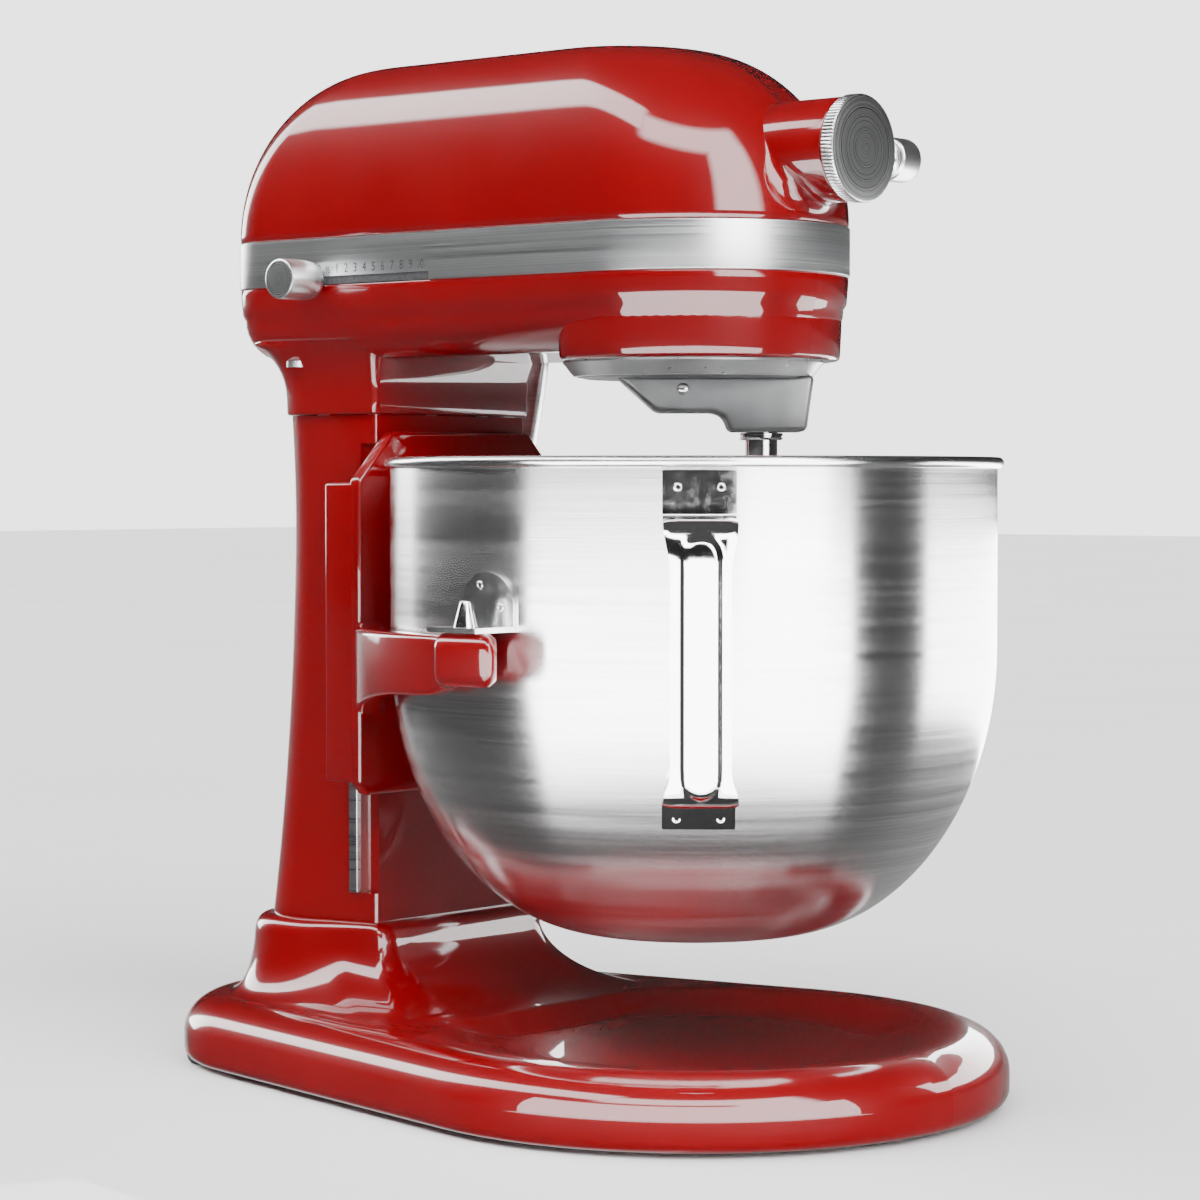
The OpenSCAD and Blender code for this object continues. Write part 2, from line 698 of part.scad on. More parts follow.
// Cross-section of the worm: its threads as a radius that changes with angle
function worm_radius(a) =
    let (
        pitch = 360 / worm_starts,
        off = abs((a + pitch / 2) % pitch - pitch / 2) / 360 * lead,
        side = (PI * gear_module / 4 - gear_play / 2 - off) / tan(20)
    )
    worm_r + max(-1.2 * gear_module, min(0.9 * gear_module, side));
module motor_worm() {
    turns = worm_l / lead;
    points = 30;
    color("#77797c") along_y(0, step_y, worm_z) difference() {
        translate([0, 0, -worm_l / 2]) rotate([0, 0, 180 * turns])
            linear_extrude(height = worm_l, twist = 360 * turns, slices = 30)
                polygon([for (i = [0 : points - 1]) polar(worm_radius(360 * i / points), 360 * i / points)]);
        translate([0, 0, -worm_l]) cylinder(r = motor_shaft_r, h = 2 * worm_l);
    }
}

// ---------------------------------------------------------------- motor

module motor_shaft() {
    color("#b9bbbe") along_y(0, step_y - worm_l / 2 - 4, worm_z)
        cylinder(r = motor_shaft_r, h = tail_y + 8 - step_y + worm_l / 2);
}
module rotor_core() {
    color("#6b6460") along_y(0, stack_y, worm_z) tube(rotor_r, motor_shaft_r, stack_l);
    color("#9a5b2c") for (y = [stack_y - 9, stack_y + stack_l])
        along_y(0, y, worm_z) tube(rotor_r - 5, motor_shaft_r, 9);
}
module commutator() {
    color("#9a5b2c") along_y(0, comm_y, worm_z) tube(13, motor_shaft_r, 14);
}
module cooling_fan() {
    fan_r = stator_r - 6;
    color("#1f2022") {
        along_y(0, fan_y, worm_z) tube(fan_r, motor_shaft_r, 2);
        along_y(0, fan_y + 2 - eps, worm_z) difference() {
            union() {
                cylinder(r = 9, h = 10);
                for (i = [0 : 10]) rotate([0, 0, i * 360 / 11]) translate([6, -1, 0]) cube([fan_r - 7, 2, 10]);
            }
            translate([0, 0, -1]) cylinder(r = motor_shaft_r, h = 14);
        }
    }
}
module stator() {
    color("#6b6460") along_y(0, stack_y, worm_z) tube(stator_r, rotor_r + 1, stack_l);
}
module stator_coils() {
    color("#9a5b2c") for (y = [stack_y - coil_l, stack_y + stack_l])
        along_y(0, y, worm_z) tube(stator_r - 5, rotor_r + 2, coil_l);
}
module motor_brackets() {
    color("#a9abad") for (y = [bracket_y + 3, tail_y - 2]) difference() {
        translate([-30, y, head_low + wall]) cube([60, 5, worm_z + 20 - head_low - wall]);
        along_y(0, y - 1, worm_z) cylinder(r = 11, h = 7);
    }
}
module motor_bearings() {
    color("#b9bbbe") for (y = [bracket_y + 3, tail_y - 2])
        along_y(0, y, worm_z) tube(11, motor_shaft_r + run_fit, 5);
}
module brush_holders() {
    color("#a8824a") for (s = [-1, 1])
        translate([s * 26, comm_y + 7, worm_z]) cube([24, 7, 7], center = true);
}
module control_board() {
    board_z = head_low + wall + 2;
    color("#1f6b3a") translate([-28, stack_y + stack_l + 6, board_z]) cube([56, 30, 1.6]);
    color("#26282b") translate([-22, stack_y + stack_l + 10, board_z + 1.6 - eps]) {
        cube([16, 20, 5]);
        translate([24, 4, 0]) cube([14, 14, 5]);
    }
}

// ---------------------------------------------------------------- speed control

module speed_knob() {
    start = -head_w / 2 - 1.6;
    color("#c3c5c7") along_x(start, knob_y, slot_z) mirror([0, 0, 1]) {
        rotate_extrude() polygon([
            [0, 0], [knob_r - 3.4, 0], [knob_r - 1.6, 1.2], [knob_r - 0.4, 3.4],
            [knob_r, knob_l - 1.2], [knob_r - 1.2, knob_l], [0, knob_l]
        ]);
    }
    stem_h = slot_h - 2 * slide_gap;
    color("#c3c5c7") translate([start - 1, knob_y - 3, slot_z - stem_h / 2])
        cube([slider_x - start + 1 + eps, 6, stem_h]);
}
module speed_slider() {
    color("#303032") translate([slider_x, knob_y - 9, band_low - 4]) cube([slider_t, 18, 14]);
}
module speed_track() {
    color("#26282b") translate([slider_x + slider_t + slide_gap, knob_y - speed_travel - 12, band_low - 4])
        cube([4, speed_travel + 24, 10]);
}

// ---------------------------------------------------------------- attachment hub

module hub_shaft() {
    socket_y = -hub_front + hub_depth;
    color("#b9bbbe") translate([0, 0, hub_z]) {
        rotate([90, 0, 0]) rotate([0, 0, 180 / bevel_teeth - 90]) mirror([0, 0, 1]) bevel(0);
        rotate([90, 0, 0]) translate([0, 0, bevel_r + 3 - eps]) difference() {
            cylinder(r = 8, h = -socket_y - bevel_r - 3);
            translate([0, 0, -socket_y - bevel_r - 3 - 14]) linear_extrude(height = 20) square(8.4, center = true);
        }
    }
}
module hub_bush() {
    color("#a8824a") along_y(0, -hub_front + hub_depth + 1, hub_z) tube(hub_r - 6, 8 + run_fit, 12);
}
module hub_cap() {
    color("#c3c5c7") translate([0, -hub_front, hub_z]) rotate([90, 0, 0]) {
        rotate_extrude() polygon([
            [0, slide_gap], [hub_r + 0.5, slide_gap], [hub_r + 0.7, 1.6], [hub_r + 0.7, cap_t - 1.4],
            [hub_r - 0.6, cap_t - 0.4], [hub_r * 0.5, cap_t], [0, cap_t]
        ]);
        translate([0, 0, -plug_l]) tube(hub_bore_r + 0.5, hub_bore_r - 2, plug_l + 1);
    }
}
module clamp_knob() {
    knob_x = head_w / 2 - 21;
    color("#c3c5c7") {
        along_x(hub_bore_r + slide_gap, clamp_y, hub_z) cylinder(r = 4, h = hub_r - hub_bore_r + 2);
        along_x(hub_r + 1, clamp_y, hub_z) cylinder(r = 5.6, h = knob_x - hub_r);
        along_x(knob_x, clamp_y, hub_z) cylinder(r = clamp_r, h = 13);
    }
}

// ---------------------------------------------------------------- bowl lift

module lift_carriage() {
    flange = rail_y + rail_l - plate_front;
    cut = 20;
    side_in = column_w / 2 + rail_out + slide_gap;
    color("#b3000c") translate([0, plate_front, carriage_low]) {
        translate([0, plate_t, 0]) rotate([90, 0, 0]) linear_extrude(height = plate_t) polygon([
            [-carriage_w / 2 + cut, 0], [carriage_w / 2 - cut, 0], [carriage_w / 2, cut],
            [carriage_w / 2, carriage_h - cut], [carriage_w / 2 - cut, carriage_h],
            [-carriage_w / 2 + cut, carriage_h], [-carriage_w / 2, carriage_h - cut],
            [-carriage_w / 2, cut]
        ]);
        for (s = [-1, 1])
            translate([s > 0 ? side_in : -carriage_w / 2, plate_t - eps, cut])
                cube([carriage_w / 2 - side_in, flange - plate_t, carriage_h - 2 * cut]);
    }
}
module bowl_yoke() {
    arm_top = ear_z - 3;
    join = acos((carriage_w / 2 - 4) / yoke_out);
    foot_t = 10;
    foot_y = sqrt(pow(yoke_in, 2) - pow(carriage_w / 2 - foot_t, 2)) + 2;
    arm_in = yoke_in + 1;
    color("#b3000c") {
        for (s = [0, 1]) mirror([s, 0, 0]) {
            // arm that follows the bowl's wall back to the carriage
            translate([0, 0, arm_top - 26]) rotate([0, 0, 8]) rotate_extrude(angle = join - 8, $fn = 96)
                translate([arm_in, 0]) square([yoke_out - arm_in, 26]);
            // pad under the bowl's ear
            difference() {
                translate([0, 0, ear_z - pad_t]) rotate([0, 0, -9]) rotate_extrude(angle = 19, $fn = 96)
                    translate([yoke_in, 0]) square([pad_x + 9 - yoke_in, pad_t]);
                translate([pad_x, 0, ear_z - 11]) cylinder(r = 3, h = 14);
            }
            // foot that bolts to the carriage
            translate([carriage_w / 2 - foot_t, foot_y, arm_top - 32])
                cube([foot_t, plate_front - foot_y, 30]);
        }
    }
}
module bowl_pins() {
    color("#d2d3d5") for (s = [-1, 1]) translate([s * pad_x, 0, ear_z - 11]) {
        cylinder(r = 3, h = 11);
        translate([0, 0, 11]) cylinder(r1 = 4.7, r2 = 2, h = 11.6);
    }
}
// Spring clip on the carriage, open at the top, for the pin at the back of the bowl
catch_z = carriage_low + 34;
module bowl_latch() {
    color("#c9cbcd") translate([0, plate_front, catch_z]) difference() {
        translate([-14, -4.2, -9]) cube([28, 4.2 - eps, 14]);
        translate([-11, -2.3, -10]) cube([22, 3, 20]);
        translate([-3.6, -5, 0]) cube([7.2, 4, 10]);
        along_y(0, -5, 0) cylinder(r = 3.6, h = 4);
    }
}
module lift_link() {
    slot = crank_pin_r + 2.3;
    pin_y = pivot_y + crank_r * cos(lever_swing / 2);
    pin_z = pivot_z + crank_r * sin(lever_swing / 2);
    far_y = pivot_y + crank_r + 3.2;
    color("#a9abad") translate([link_t / 2, 0, 0]) rotate([0, -90, 0]) linear_extrude(height = link_t)
        difference() {
            translate([pin_z - slot - 4, plate_front + plate_t])
                square([2 * slot + 8, far_y - plate_front - plate_t + 2]);
            translate([pin_z - slot, pin_y - crank_pin_r - 2]) square([2 * slot, far_y - pin_y + crank_pin_r + 4.1]);
        }
}
module lift_shaft() {
    start = link_t / 2 + 1.5;
    arm_t = 6;
    color("#b9bbbe") {
        along_x(start + arm_t - eps, pivot_y, pivot_z) cylinder(r = pivot_r, h = lever_x + 5 - start - arm_t);
        translate([0, pivot_y, pivot_z]) rotate([lever_swing / 2, 0, 0]) {
            translate([start, 0, -5]) cube([arm_t, crank_r, 10]);
            along_x(start, 0, 0) cylinder(r = pivot_r + 3, h = arm_t);
            along_x(start, crank_r, 0) cylinder(r = 5, h = arm_t);
            along_x(-link_t / 2 - 1, crank_r, 0) cylinder(r = crank_pin_r, h = start + link_t / 2 + 2);
        }
    }
}
module lift_lever() {
    t = 5;
    color("#c3c5c7") translate([lever_x, pivot_y, pivot_z]) rotate([lever_lean, 0, 0]) difference() {
        union() {
            along_x(0, 0, 0) cylinder(r = pivot_r + 6, h = t);
            translate([0, -6.5, 0]) cube([t, 13, lever_len - 7]);
            along_x(0, 0, lever_len - 7) cylinder(r = 7, h = t);
        }
        along_x(-1, 0, 0) cylinder(r = pivot_r, h = t + 2);
    }
}

// ---------------------------------------------------------------- bowl

// Outside of the bowl: a flat bottom, a deep round side and a straight wall
bend_h = bowl_h * 0.6;
function bowl_side(a) = [bowl_flat_r + (bowl_r - bowl_flat_r) * sin(a), bend_h * (1 - cos(a))];
bowl_outside = [for (i = [0 : 14]) bowl_side(i * 90 / 14)];
// Outside radius of the bowl at a height above the ground
function bowl_at(z) = lookup(z - bowl_low, [for (p = bowl_outside) [p[1], p[0]]]);
module bowl() {
    inside = (bowl_r - bowl_wall) / bowl_r;
    rise = bowl_wall / bend_h;
    color("#c9cbcd") translate([0, 0, bowl_low]) {
        rotate_extrude($fn = 120) polygon(concat(
            [[0, 0]],
            bowl_outside,
            [[bowl_r, bowl_h - 1], [bowl_r - bowl_wall, bowl_h - 1]],
            [for (i = [14 : -1 : 0]) [bowl_outside[i][0] * inside,
                bowl_outside[i][1] * (1 - rise) + bowl_wall]],
            [[0, bowl_wall]]
        ));
        // rolled rim
        translate([0, 0, bowl_h - rim_h / 2]) rotate_extrude($fn = 120)
            translate([bowl_r + rim_out - rim_h / 2, 0]) circle(r = rim_h / 2, $fn = 24);
    }
}
plate_over = 1.6;
handle_top = rim_z - 20;
module bowl_handle() {
    t = 6;
    reach_r = bowl_r + handle_out - t;
    low = handle_top - handle_h;
    color("#c9cbcd") rotate([0, 0, -90 - handle_turn]) {
        // grip
        translate([reach_r, -handle_w / 2, low]) cube([t, handle_w, handle_h]);
        // returns to the wall, top and bottom
        for (z = [low, handle_top - 5]) translate([bowl_at(z + 5) + 1, -handle_w / 2, z])
            cube([reach_r - bowl_at(z + 5), handle_w, 5]);
        wall_plate(handle_top - 4, 19, handle_w + 5);
        wall_plate(low - 12, 19, handle_w + 5);
    }
}
// A strip of sheet welded flat on the bowl's wall, from height z up
module wall_plate(z, h, w) {
    turn = w / bowl_r * 90 / PI;
    steps = [for (i = [0 : 8]) z + h * i / 8];
    rotate([0, 0, -turn]) rotate_extrude(angle = 2 * turn, $fn = 120) polygon(concat(
        [for (k = steps) [bowl_at(k) + skin_gap, k]],
        [for (i = [8 : -1 : 0]) [bowl_at(steps[i]) + plate_over, steps[i]]]
    ));
}
skin_gap = 0.1;
module bowl_ears() {
    t = 2;
    color("#c9cbcd") for (s = [0, 180]) rotate([0, 0, s]) {
        wall_plate(ear_z, 22, 19);
        difference() {
            translate([bowl_r + skin_gap, -11, ear_z]) cube([pad_x + 8 - bowl_r, 22, t]);
            translate([pad_x, 0, ear_z - 1]) cylinder(r = 5.3, h = t + 2);
        }
    }
}
// Headed pin at the back of the bowl, which drops into the spring clip
module bowl_catch() {
    start = bowl_at(catch_z + 3.2) + skin_gap;
    color("#c9cbcd") {
        along_y(0, start, catch_z) cylinder(r = 3.2, h = plate_front - 0.6 - start);
        along_y(0, plate_front - 1.9, catch_z) cylinder(r = 5, h = 1.3);
    }
}

set_down() base();
set_down() rubber_feet();
set_down() base_screws();
set_down() column();
set_down() column_rails();
set_down() column_screws();
set_down() head_lower();
set_down() trim_band();
set_down() head_cover();
set_down() vent_plate();
set_down() cover_screws();
set_down() cable_gland();
set_down() drip_ring();
set_down() ring_gear();
set_down() lower_bearing();
set_down() gear_bridge();
set_down() upper_bearing();
set_down() step_bushes();
set_down() planetary_housing();
set_down() planetary_pin();
set_down() centre_shaft();
set_down() centre_gear();
set_down() drive_bevel();
set_down() agitator_shaft();
set_down() agitator_pinion();
set_down() shaft_ring();
set_down() shaft_pin();
set_down() agitator_bush();
set_down() step_shaft();
set_down() step_pinion();
set_down() worm_wheel();
set_down() motor_shaft();
set_down() motor_worm();
set_down() rotor_core();
set_down() commutator();
set_down() cooling_fan();
set_down() stator();
set_down() stator_coils();
set_down() motor_brackets();
set_down() motor_bearings();
set_down() brush_holders();
set_down() control_board();
set_down() speed_knob();
set_down() speed_slider();
set_down() speed_track();
set_down() hub_shaft();
set_down() hub_bush();
set_down() hub_cap();
set_down() clamp_knob();
set_down() lift_carriage();
set_down() bowl_yoke();
set_down() bowl_pins();
set_down() bowl_latch();
set_down() lift_link();
set_down() lift_shaft();
set_down() lift_lever();
set_down() bowl();
set_down() bowl_handle();
set_down() bowl_ears();
set_down() bowl_catch();
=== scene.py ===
"""A bowl-lift stand mixer: a gloss red body, a steel bowl on a lifting yoke and a bare planetary drive."""
import json
import math

import bmesh
import bpy
from mathutils import Matrix, Vector
from mathutils.bvhtree import BVHTree


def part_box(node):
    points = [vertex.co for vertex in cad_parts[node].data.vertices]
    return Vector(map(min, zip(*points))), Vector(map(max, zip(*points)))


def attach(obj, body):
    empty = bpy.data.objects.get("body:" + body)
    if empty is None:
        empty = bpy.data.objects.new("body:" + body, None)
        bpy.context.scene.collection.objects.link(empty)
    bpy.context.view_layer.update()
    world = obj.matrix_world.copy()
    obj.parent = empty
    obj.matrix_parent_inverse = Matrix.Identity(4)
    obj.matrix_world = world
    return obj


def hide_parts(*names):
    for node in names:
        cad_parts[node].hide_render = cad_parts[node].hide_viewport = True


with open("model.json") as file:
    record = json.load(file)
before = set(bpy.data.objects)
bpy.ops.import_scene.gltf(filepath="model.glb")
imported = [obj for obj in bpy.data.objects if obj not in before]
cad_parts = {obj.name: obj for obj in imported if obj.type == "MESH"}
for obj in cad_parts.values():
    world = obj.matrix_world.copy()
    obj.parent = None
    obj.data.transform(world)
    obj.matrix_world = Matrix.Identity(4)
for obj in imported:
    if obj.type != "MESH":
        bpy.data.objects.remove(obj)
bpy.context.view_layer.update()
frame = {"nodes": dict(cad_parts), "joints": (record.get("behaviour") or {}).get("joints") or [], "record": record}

# ---------------------------------------------------------------- camera
# A tripod camera with a 102 mm lens, a little over bowl height, 1.35 m from
# the bowl and half way round to the knob side of the mixer.
MM = 0.001
bowl_low, bowl_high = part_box("bowl")
AXIS = Vector(((bowl_low.x + bowl_high.x) / 2, (bowl_low.y + bowl_high.y) / 2, 0))
round_to = math.radians(49.5)
to_right = Vector((math.cos(round_to), -math.sin(round_to), 0))
ahead = Vector((math.sin(round_to), math.cos(round_to), 0))
tripod_away = 1.35
tripod_left = 0.037
tripod_high = 0.247
camera_place = AXIS - tripod_away * ahead - tripod_left * to_right + Vector((0, 0, tripod_high))
looks_down = math.radians(2.02)
looks = ahead * math.cos(looks_down) - Vector((0, 0, math.sin(looks_down)))
lens = bpy.data.cameras.new("tripod_camera")
lens.lens = 102
lens.sensor_width = 36
lens.clip_end = 30
camera = bpy.data.objects.new("tripod_camera", lens)
camera.location = camera_place
camera.rotation_euler = looks.to_track_quat("-Z", "Y").to_euler()
bpy.context.scene.collection.objects.link(camera)
bpy.context.scene.camera = camera

# ---------------------------------------------------------------- studio
# A pale floor in a dark room, with a long soft box bent in an arch over the
# left of the mixer and lit boards round the bowl that draw its bright bands.


def ramp(tree, source, stops):
    """A grey curve through (position, value) stops."""
    node = tree.nodes.new("ShaderNodeValToRGB")
    points = node.color_ramp.elements
    points[0].position, points[1].position = stops[0][0], stops[-1][0]
    points[0].color, points[1].color = (*[stops[0][1]] * 3, 1), (*[stops[-1][1]] * 3, 1)
    for at, value in stops[1:-1]:
        points.new(at).color = (*[value] * 3, 1)
    tree.links.new(source, node.inputs["Fac"])
    return node.outputs["Color"]


def sum_of(tree, kind, first, second):
    """One math node on two sources, the second of which may be a number."""
    node = tree.nodes.new("ShaderNodeMath")
    node.operation = kind
    for socket, value in zip(node.inputs, (first, second)):
        if isinstance(value, (int, float)):
            socket.default_value = value
        else:
            tree.links.new(value, socket)
    return node.outputs[0]


def along(tree, source, direction):
    """How far a direction from the shader lies along a fixed one, -1 to 1."""
    node = tree.nodes.new("ShaderNodeVectorMath")
    node.operation = "DOT_PRODUCT"
    node.inputs[1].default_value = direction
    tree.links.new(source, node.inputs[0])
    return node.outputs["Value"]


def studio_sky():
    """Pale to the eye, but to the mixer a dark room with a bent soft box and a dim floor."""
    world = bpy.data.worlds.new("studio")
    world.use_nodes = True
    world.cycles.sampling_method = "NONE"
    tree = world.node_tree
    tree.nodes.clear()
    link = tree.links.new
    facing = tree.nodes.new("ShaderNodeTexCoord").outputs["Generated"]
    height = along(tree, facing, (0, 0, 1))
    turn = sum_of(tree, "ARCTAN2", along(tree, facing, to_right), along(tree, facing, -ahead))
    # the turn from the tripod, -180 to 180 degrees, as 0 to 1
    round_room = sum_of(tree, "ADD", sum_of(tree, "DIVIDE", turn, 2 * math.pi), 0.5)

    def turned(stops):
        return ramp(tree, round_room, [(a / 360 + 0.5, v) for a, v in stops])

    post = sum_of(tree, "MULTIPLY", turned([(-180, 0), (13, 0), (18, 1), (47, 1), (53, 0), (180, 0)]),
                  ramp(tree, height, [(0.0, 1), (0.70, 1), (0.76, 0)]))
    top = sum_of(tree, "MULTIPLY", turned([(-180, 0), (-46, 0), (-38, 1), (44, 1), (53, 0), (180, 0)]),
                 ramp(tree, height, [(0.0, 0), (0.62, 0), (0.67, 1), (0.80, 1), (0.84, 0)]))
    # on the left the arch leans over to meet the floor behind the mixer
    arch_side = Vector((0.771, -0.179, 0.611)).normalized()
    off = sum_of(tree, "ABSOLUTE", along(tree, facing, arch_side), 0)
    left = sum_of(tree, "MULTIPLY", turned([(-180, 0), (-176, 0), (-172, 1), (-42, 1), (-34, 0), (180, 0)]),
                  ramp(tree, off, [(0.0, 1), (0.115, 1), (0.15, 0)]))
    left = sum_of(tree, "MULTIPLY", left, ramp(tree, height, [(0.0, 0), (0.03, 1), (1.0, 1)]))
    arch = sum_of(tree, "MAXIMUM", post, sum_of(tree, "MAXIMUM", top, left))
    arch = sum_of(tree, "MULTIPLY", arch, SOFT_BOX)
    room = ramp(tree, height, [(0.0, 0.03), (0.4, 0.03), (1.0, 0.10)])
    above = sum_of(tree, "ADD", arch, room)
    below = turned([(-180, 0.9), (-158, 0.8), (-146, 0.12), (-60, 0.08), (60, 0.05), (180, 0.4)])
    low = sum_of(tree, "LESS_THAN", height, 0.0)
    glow = tree.nodes.new("ShaderNodeMix")
    glow.data_type = "FLOAT"
    link(low, glow.inputs[0])
    link(above, glow.inputs[2])
    link(below, glow.inputs[3])
    felt = tree.nodes.new("ShaderNodeBackground")
    felt.inputs["Color"].default_value = (1, 1, 1, 1)
    link(glow.outputs[0], felt.inputs["Strength"])
    seen = tree.nodes.new("ShaderNodeBackground")
    seen.inputs["Color"].default_value = (1, 1, 1, 1)
    seen.inputs["Strength"].default_value = 3.0
    either = tree.nodes.new("ShaderNodeMixShader")
    link(tree.nodes.new("ShaderNodeLightPath").outputs["Is Camera Ray"], either.inputs[0])
    link(felt.outputs[0], either.inputs[1])
    link(seen.outputs[0], either.inputs[2])
    link(either.outputs[0], tree.nodes.new("ShaderNodeOutputWorld").inputs[0])
    bpy.context.scene.world = world


SOFT_BOX = 13.0
studio_sky()


def node_material(name, base, metallic, roughness, **sockets):
    """A new principled material with its plain numbers set; returns it with its tree and shader."""
    mat = bpy.data.materials.new(name)
    mat.use_nodes = True
    shader = mat.node_tree.nodes["Principled BSDF"]
    shader.inputs["Base Color"].default_value = (*base, 1)
    shader.inputs["Metallic"].default_value = metallic
    shader.inputs["Roughness"].default_value = roughness
    for socket, value in sockets.items():
        shader.inputs[socket.replace("_", " ")].default_value = value
    return mat, mat.node_tree, shader


def grain(tree, scale, detail=3.0, roughness=0.55, stretch=(1, 1, 1), distort=0.0):
    """Noise in the object's own metres, drawn out along an axis by stretch."""
    place = tree.nodes.new("ShaderNodeTexCoord")
    spread = tree.nodes.new("ShaderNodeMapping")
    spread.inputs["Scale"].default_value = stretch
    noise = tree.nodes.new("ShaderNodeTexNoise")
    noise.inputs["Scale"].default_value = scale
    noise.inputs["Detail"].default_value = detail
    noise.inputs["Roughness"].default_value = roughness
    noise.inputs["Distortion"].default_value = distort
    tree.links.new(place.outputs["Object"], spread.inputs["Vector"])
    tree.links.new(spread.outputs["Vector"], noise.inputs["Vector"])
    return noise.outputs["Fac"]


def spread_over(tree, shader, socket, source, low, high):
    """Drives a number socket between two values by a grey pattern."""
    span = tree.nodes.new("ShaderNodeMapRange")
    span.inputs["From Min"].default_value = 0.3
    span.inputs["From Max"].default_value = 0.7
    span.inputs["To Min"].default_value = low
    span.inputs["To Max"].default_value = high
    tree.links.new(source, span.inputs["Value"])
    tree.links.new(span.outputs["Result"], shader.inputs[socket])


def tint(tree, shader, source, dark, light):
    """Colours the surface between two shades by a grey pattern."""
    shades = tree.nodes.new("ShaderNodeValToRGB")
    for stop, at, shade in zip(shades.color_ramp.elements, (0.3, 0.7), (dark, light)):
        stop.position = at
        stop.color = (*shade, 1)
    tree.links.new(source, shades.inputs["Fac"])
    tree.links.new(shades.outputs["Color"], shader.inputs["Base Color"])


def raise_by(tree, shader, source, height, socket="Normal"):
    """Bumps the surface by a grey pattern, height in metres."""
    bump = tree.nodes.new("ShaderNodeBump")
    bump.inputs["Strength"].default_value = 1.0
    bump.inputs["Distance"].default_value = height
    tree.links.new(source, bump.inputs["Height"])
    tree.links.new(bump.outputs["Normal"], shader.inputs[socket])


def link_piece(name, mesh, material, sharp_over=40):
    """Puts a mesh in the scene under a name, smooth but for edges sharper than sharp_over degrees."""
    piece = bpy.data.objects.new(name, mesh)
    bpy.context.scene.collection.objects.link(piece)
    mesh.materials.append(material)
    mesh.polygons.foreach_set("use_smooth", [True] * len(mesh.polygons))
    mesh.set_sharp_from_angle(angle=math.radians(sharp_over))
    return piece


def matt_white():
    """Matt floor paint."""
    mat, tree, shader = node_material("floor_white", (0.86, 0.86, 0.86), 0, 0.7)
    tint(tree, shader, grain(tree, 3), (0.84, 0.84, 0.84), (0.88, 0.88, 0.88))
    return mat


floor_half = 12.0
floor_mesh = bpy.data.meshes.new("floor")
floor_mesh.from_pydata([(x * floor_half, y * floor_half, 0) for x, y in ((-1, -1), (1, -1), (1, 1), (-1, 1))],
                       [], [(0, 1, 2, 3)])
floor = link_piece("floor", floor_mesh, matt_white())
floor.visible_glossy = False


def reflector(name, start, end, near, far, low, high, strength):
    """A lit curved board round the bowl, seen only in reflections, between two turns from the tripod."""
    steps = 24
    count = steps + 1
    turns = [math.radians(start + (end - start) * k / steps) for k in range(count)]
    verts = []
    for r, z in ((near, low), (far, high)):
        verts += [AXIS + (to_right * math.sin(a) - ahead * math.cos(a)) * r + Vector((0, 0, z))
                  for a in turns]
    mesh = bpy.data.meshes.new(name)
    mesh.from_pydata(verts, [], [(k, k + 1, k + count + 1, k + count) for k in range(steps)])
    mat, tree, shader = node_material(name, (0.9, 0.9, 0.9), 0, 0.9, Emission_Strength=strength)
    tint(tree, shader, grain(tree, 8), (0.88,) * 3, (0.92,) * 3)
    shader.inputs["Emission Color"].default_value = (1, 1, 1, 1)
    board = link_piece(name, mesh, mat)
    board.visible_camera = board.visible_shadow = board.visible_diffuse = False


board_r = 0.40
board_top = 0.222
board_foot_r = 0.27
board_foot_z = 0.001
reflector("board_front", -56, 50, board_r, board_r, 0.0, board_top, 11.0)
reflector("board_front_foot", -56, 50, board_foot_r, board_r, board_foot_z, board_foot_z, 5.0)
reflector("board_right", 82, 156, board_r, board_r, 0.085, board_top, 9.0)
reflector("board_left", -172, -150, board_r, board_r, 0.06, board_top, 3.0)

# ---------------------------------------------------------------- base
# The foot of the mixer: one zinc casting with a skirt, a round dish that the
# bowl sinks into and a pedestal for the column, stove-enamelled gloss red.


def plan(front, half, front_r, back, rear_half, rear_r, arc=20, side=12):
    """Points round a plan of four round corners, given in mm from the bowl's axis."""
    corners = [(half - front_r, front + front_r, front_r), (rear_half - rear_r, back - rear_r, rear_r),
               (rear_r - rear_half, back - rear_r, rear_r), (front_r - half, front + front_r, front_r)]
    turns = []
    for i, (ax, ay, ar) in enumerate(corners):
        bx, by, br = corners[(i + 1) % 4]
        gap = math.hypot(bx - ax, by - ay)
        turn = i * math.pi / 2
        if gap > 1e-6:
            turn = math.atan2(by - ay, bx - ax) - math.pi / 2 + math.asin(max(-1, min(1, (ar - br) / gap)))
            turn -= 2 * math.pi * round((turn - i * math.pi / 2) / (2 * math.pi))
        turns.append(turn)
    arcs = []
    for i, (cx, cy, r) in enumerate(corners):
        start = turns[i - 1] - (2 * math.pi if i == 0 else 0)
        steps = [start + (turns[i] - start) * k / arc for k in range(arc + 1)]
        arcs.append([(cx + r * math.cos(a), cy + r * math.sin(a)) for a in steps])
    points = []
    for i in range(4):
        (ax, ay), (bx, by) = arcs[i][-1], arcs[(i + 1) % 4][0]
        points += arcs[i][:-1]
        points += [(ax + (bx - ax) * k / side, ay + (by - ay) * k / side) for k in range(side)]
    return points


def inset(section, t):
    """A plan section drawn in by t all round."""
    front, half, front_r, back, rear_half, rear_r = section
    return (front + t, half - t, max(front_r - t, 0.5), back - t, rear_half - t, max(rear_r - t, 0.5))


def from_axis(x, y, z):
    """A point in metres from mm measured from the bowl's axis."""
    return Vector((x * MM + AXIS.x, y * MM + AXIS.y, z * MM))


def level(section, t, z):
    """The ring of a plan section drawn in by t, at height z."""
    return [from_axis(x, y, z) for x, y in plan(*inset(section, t))]


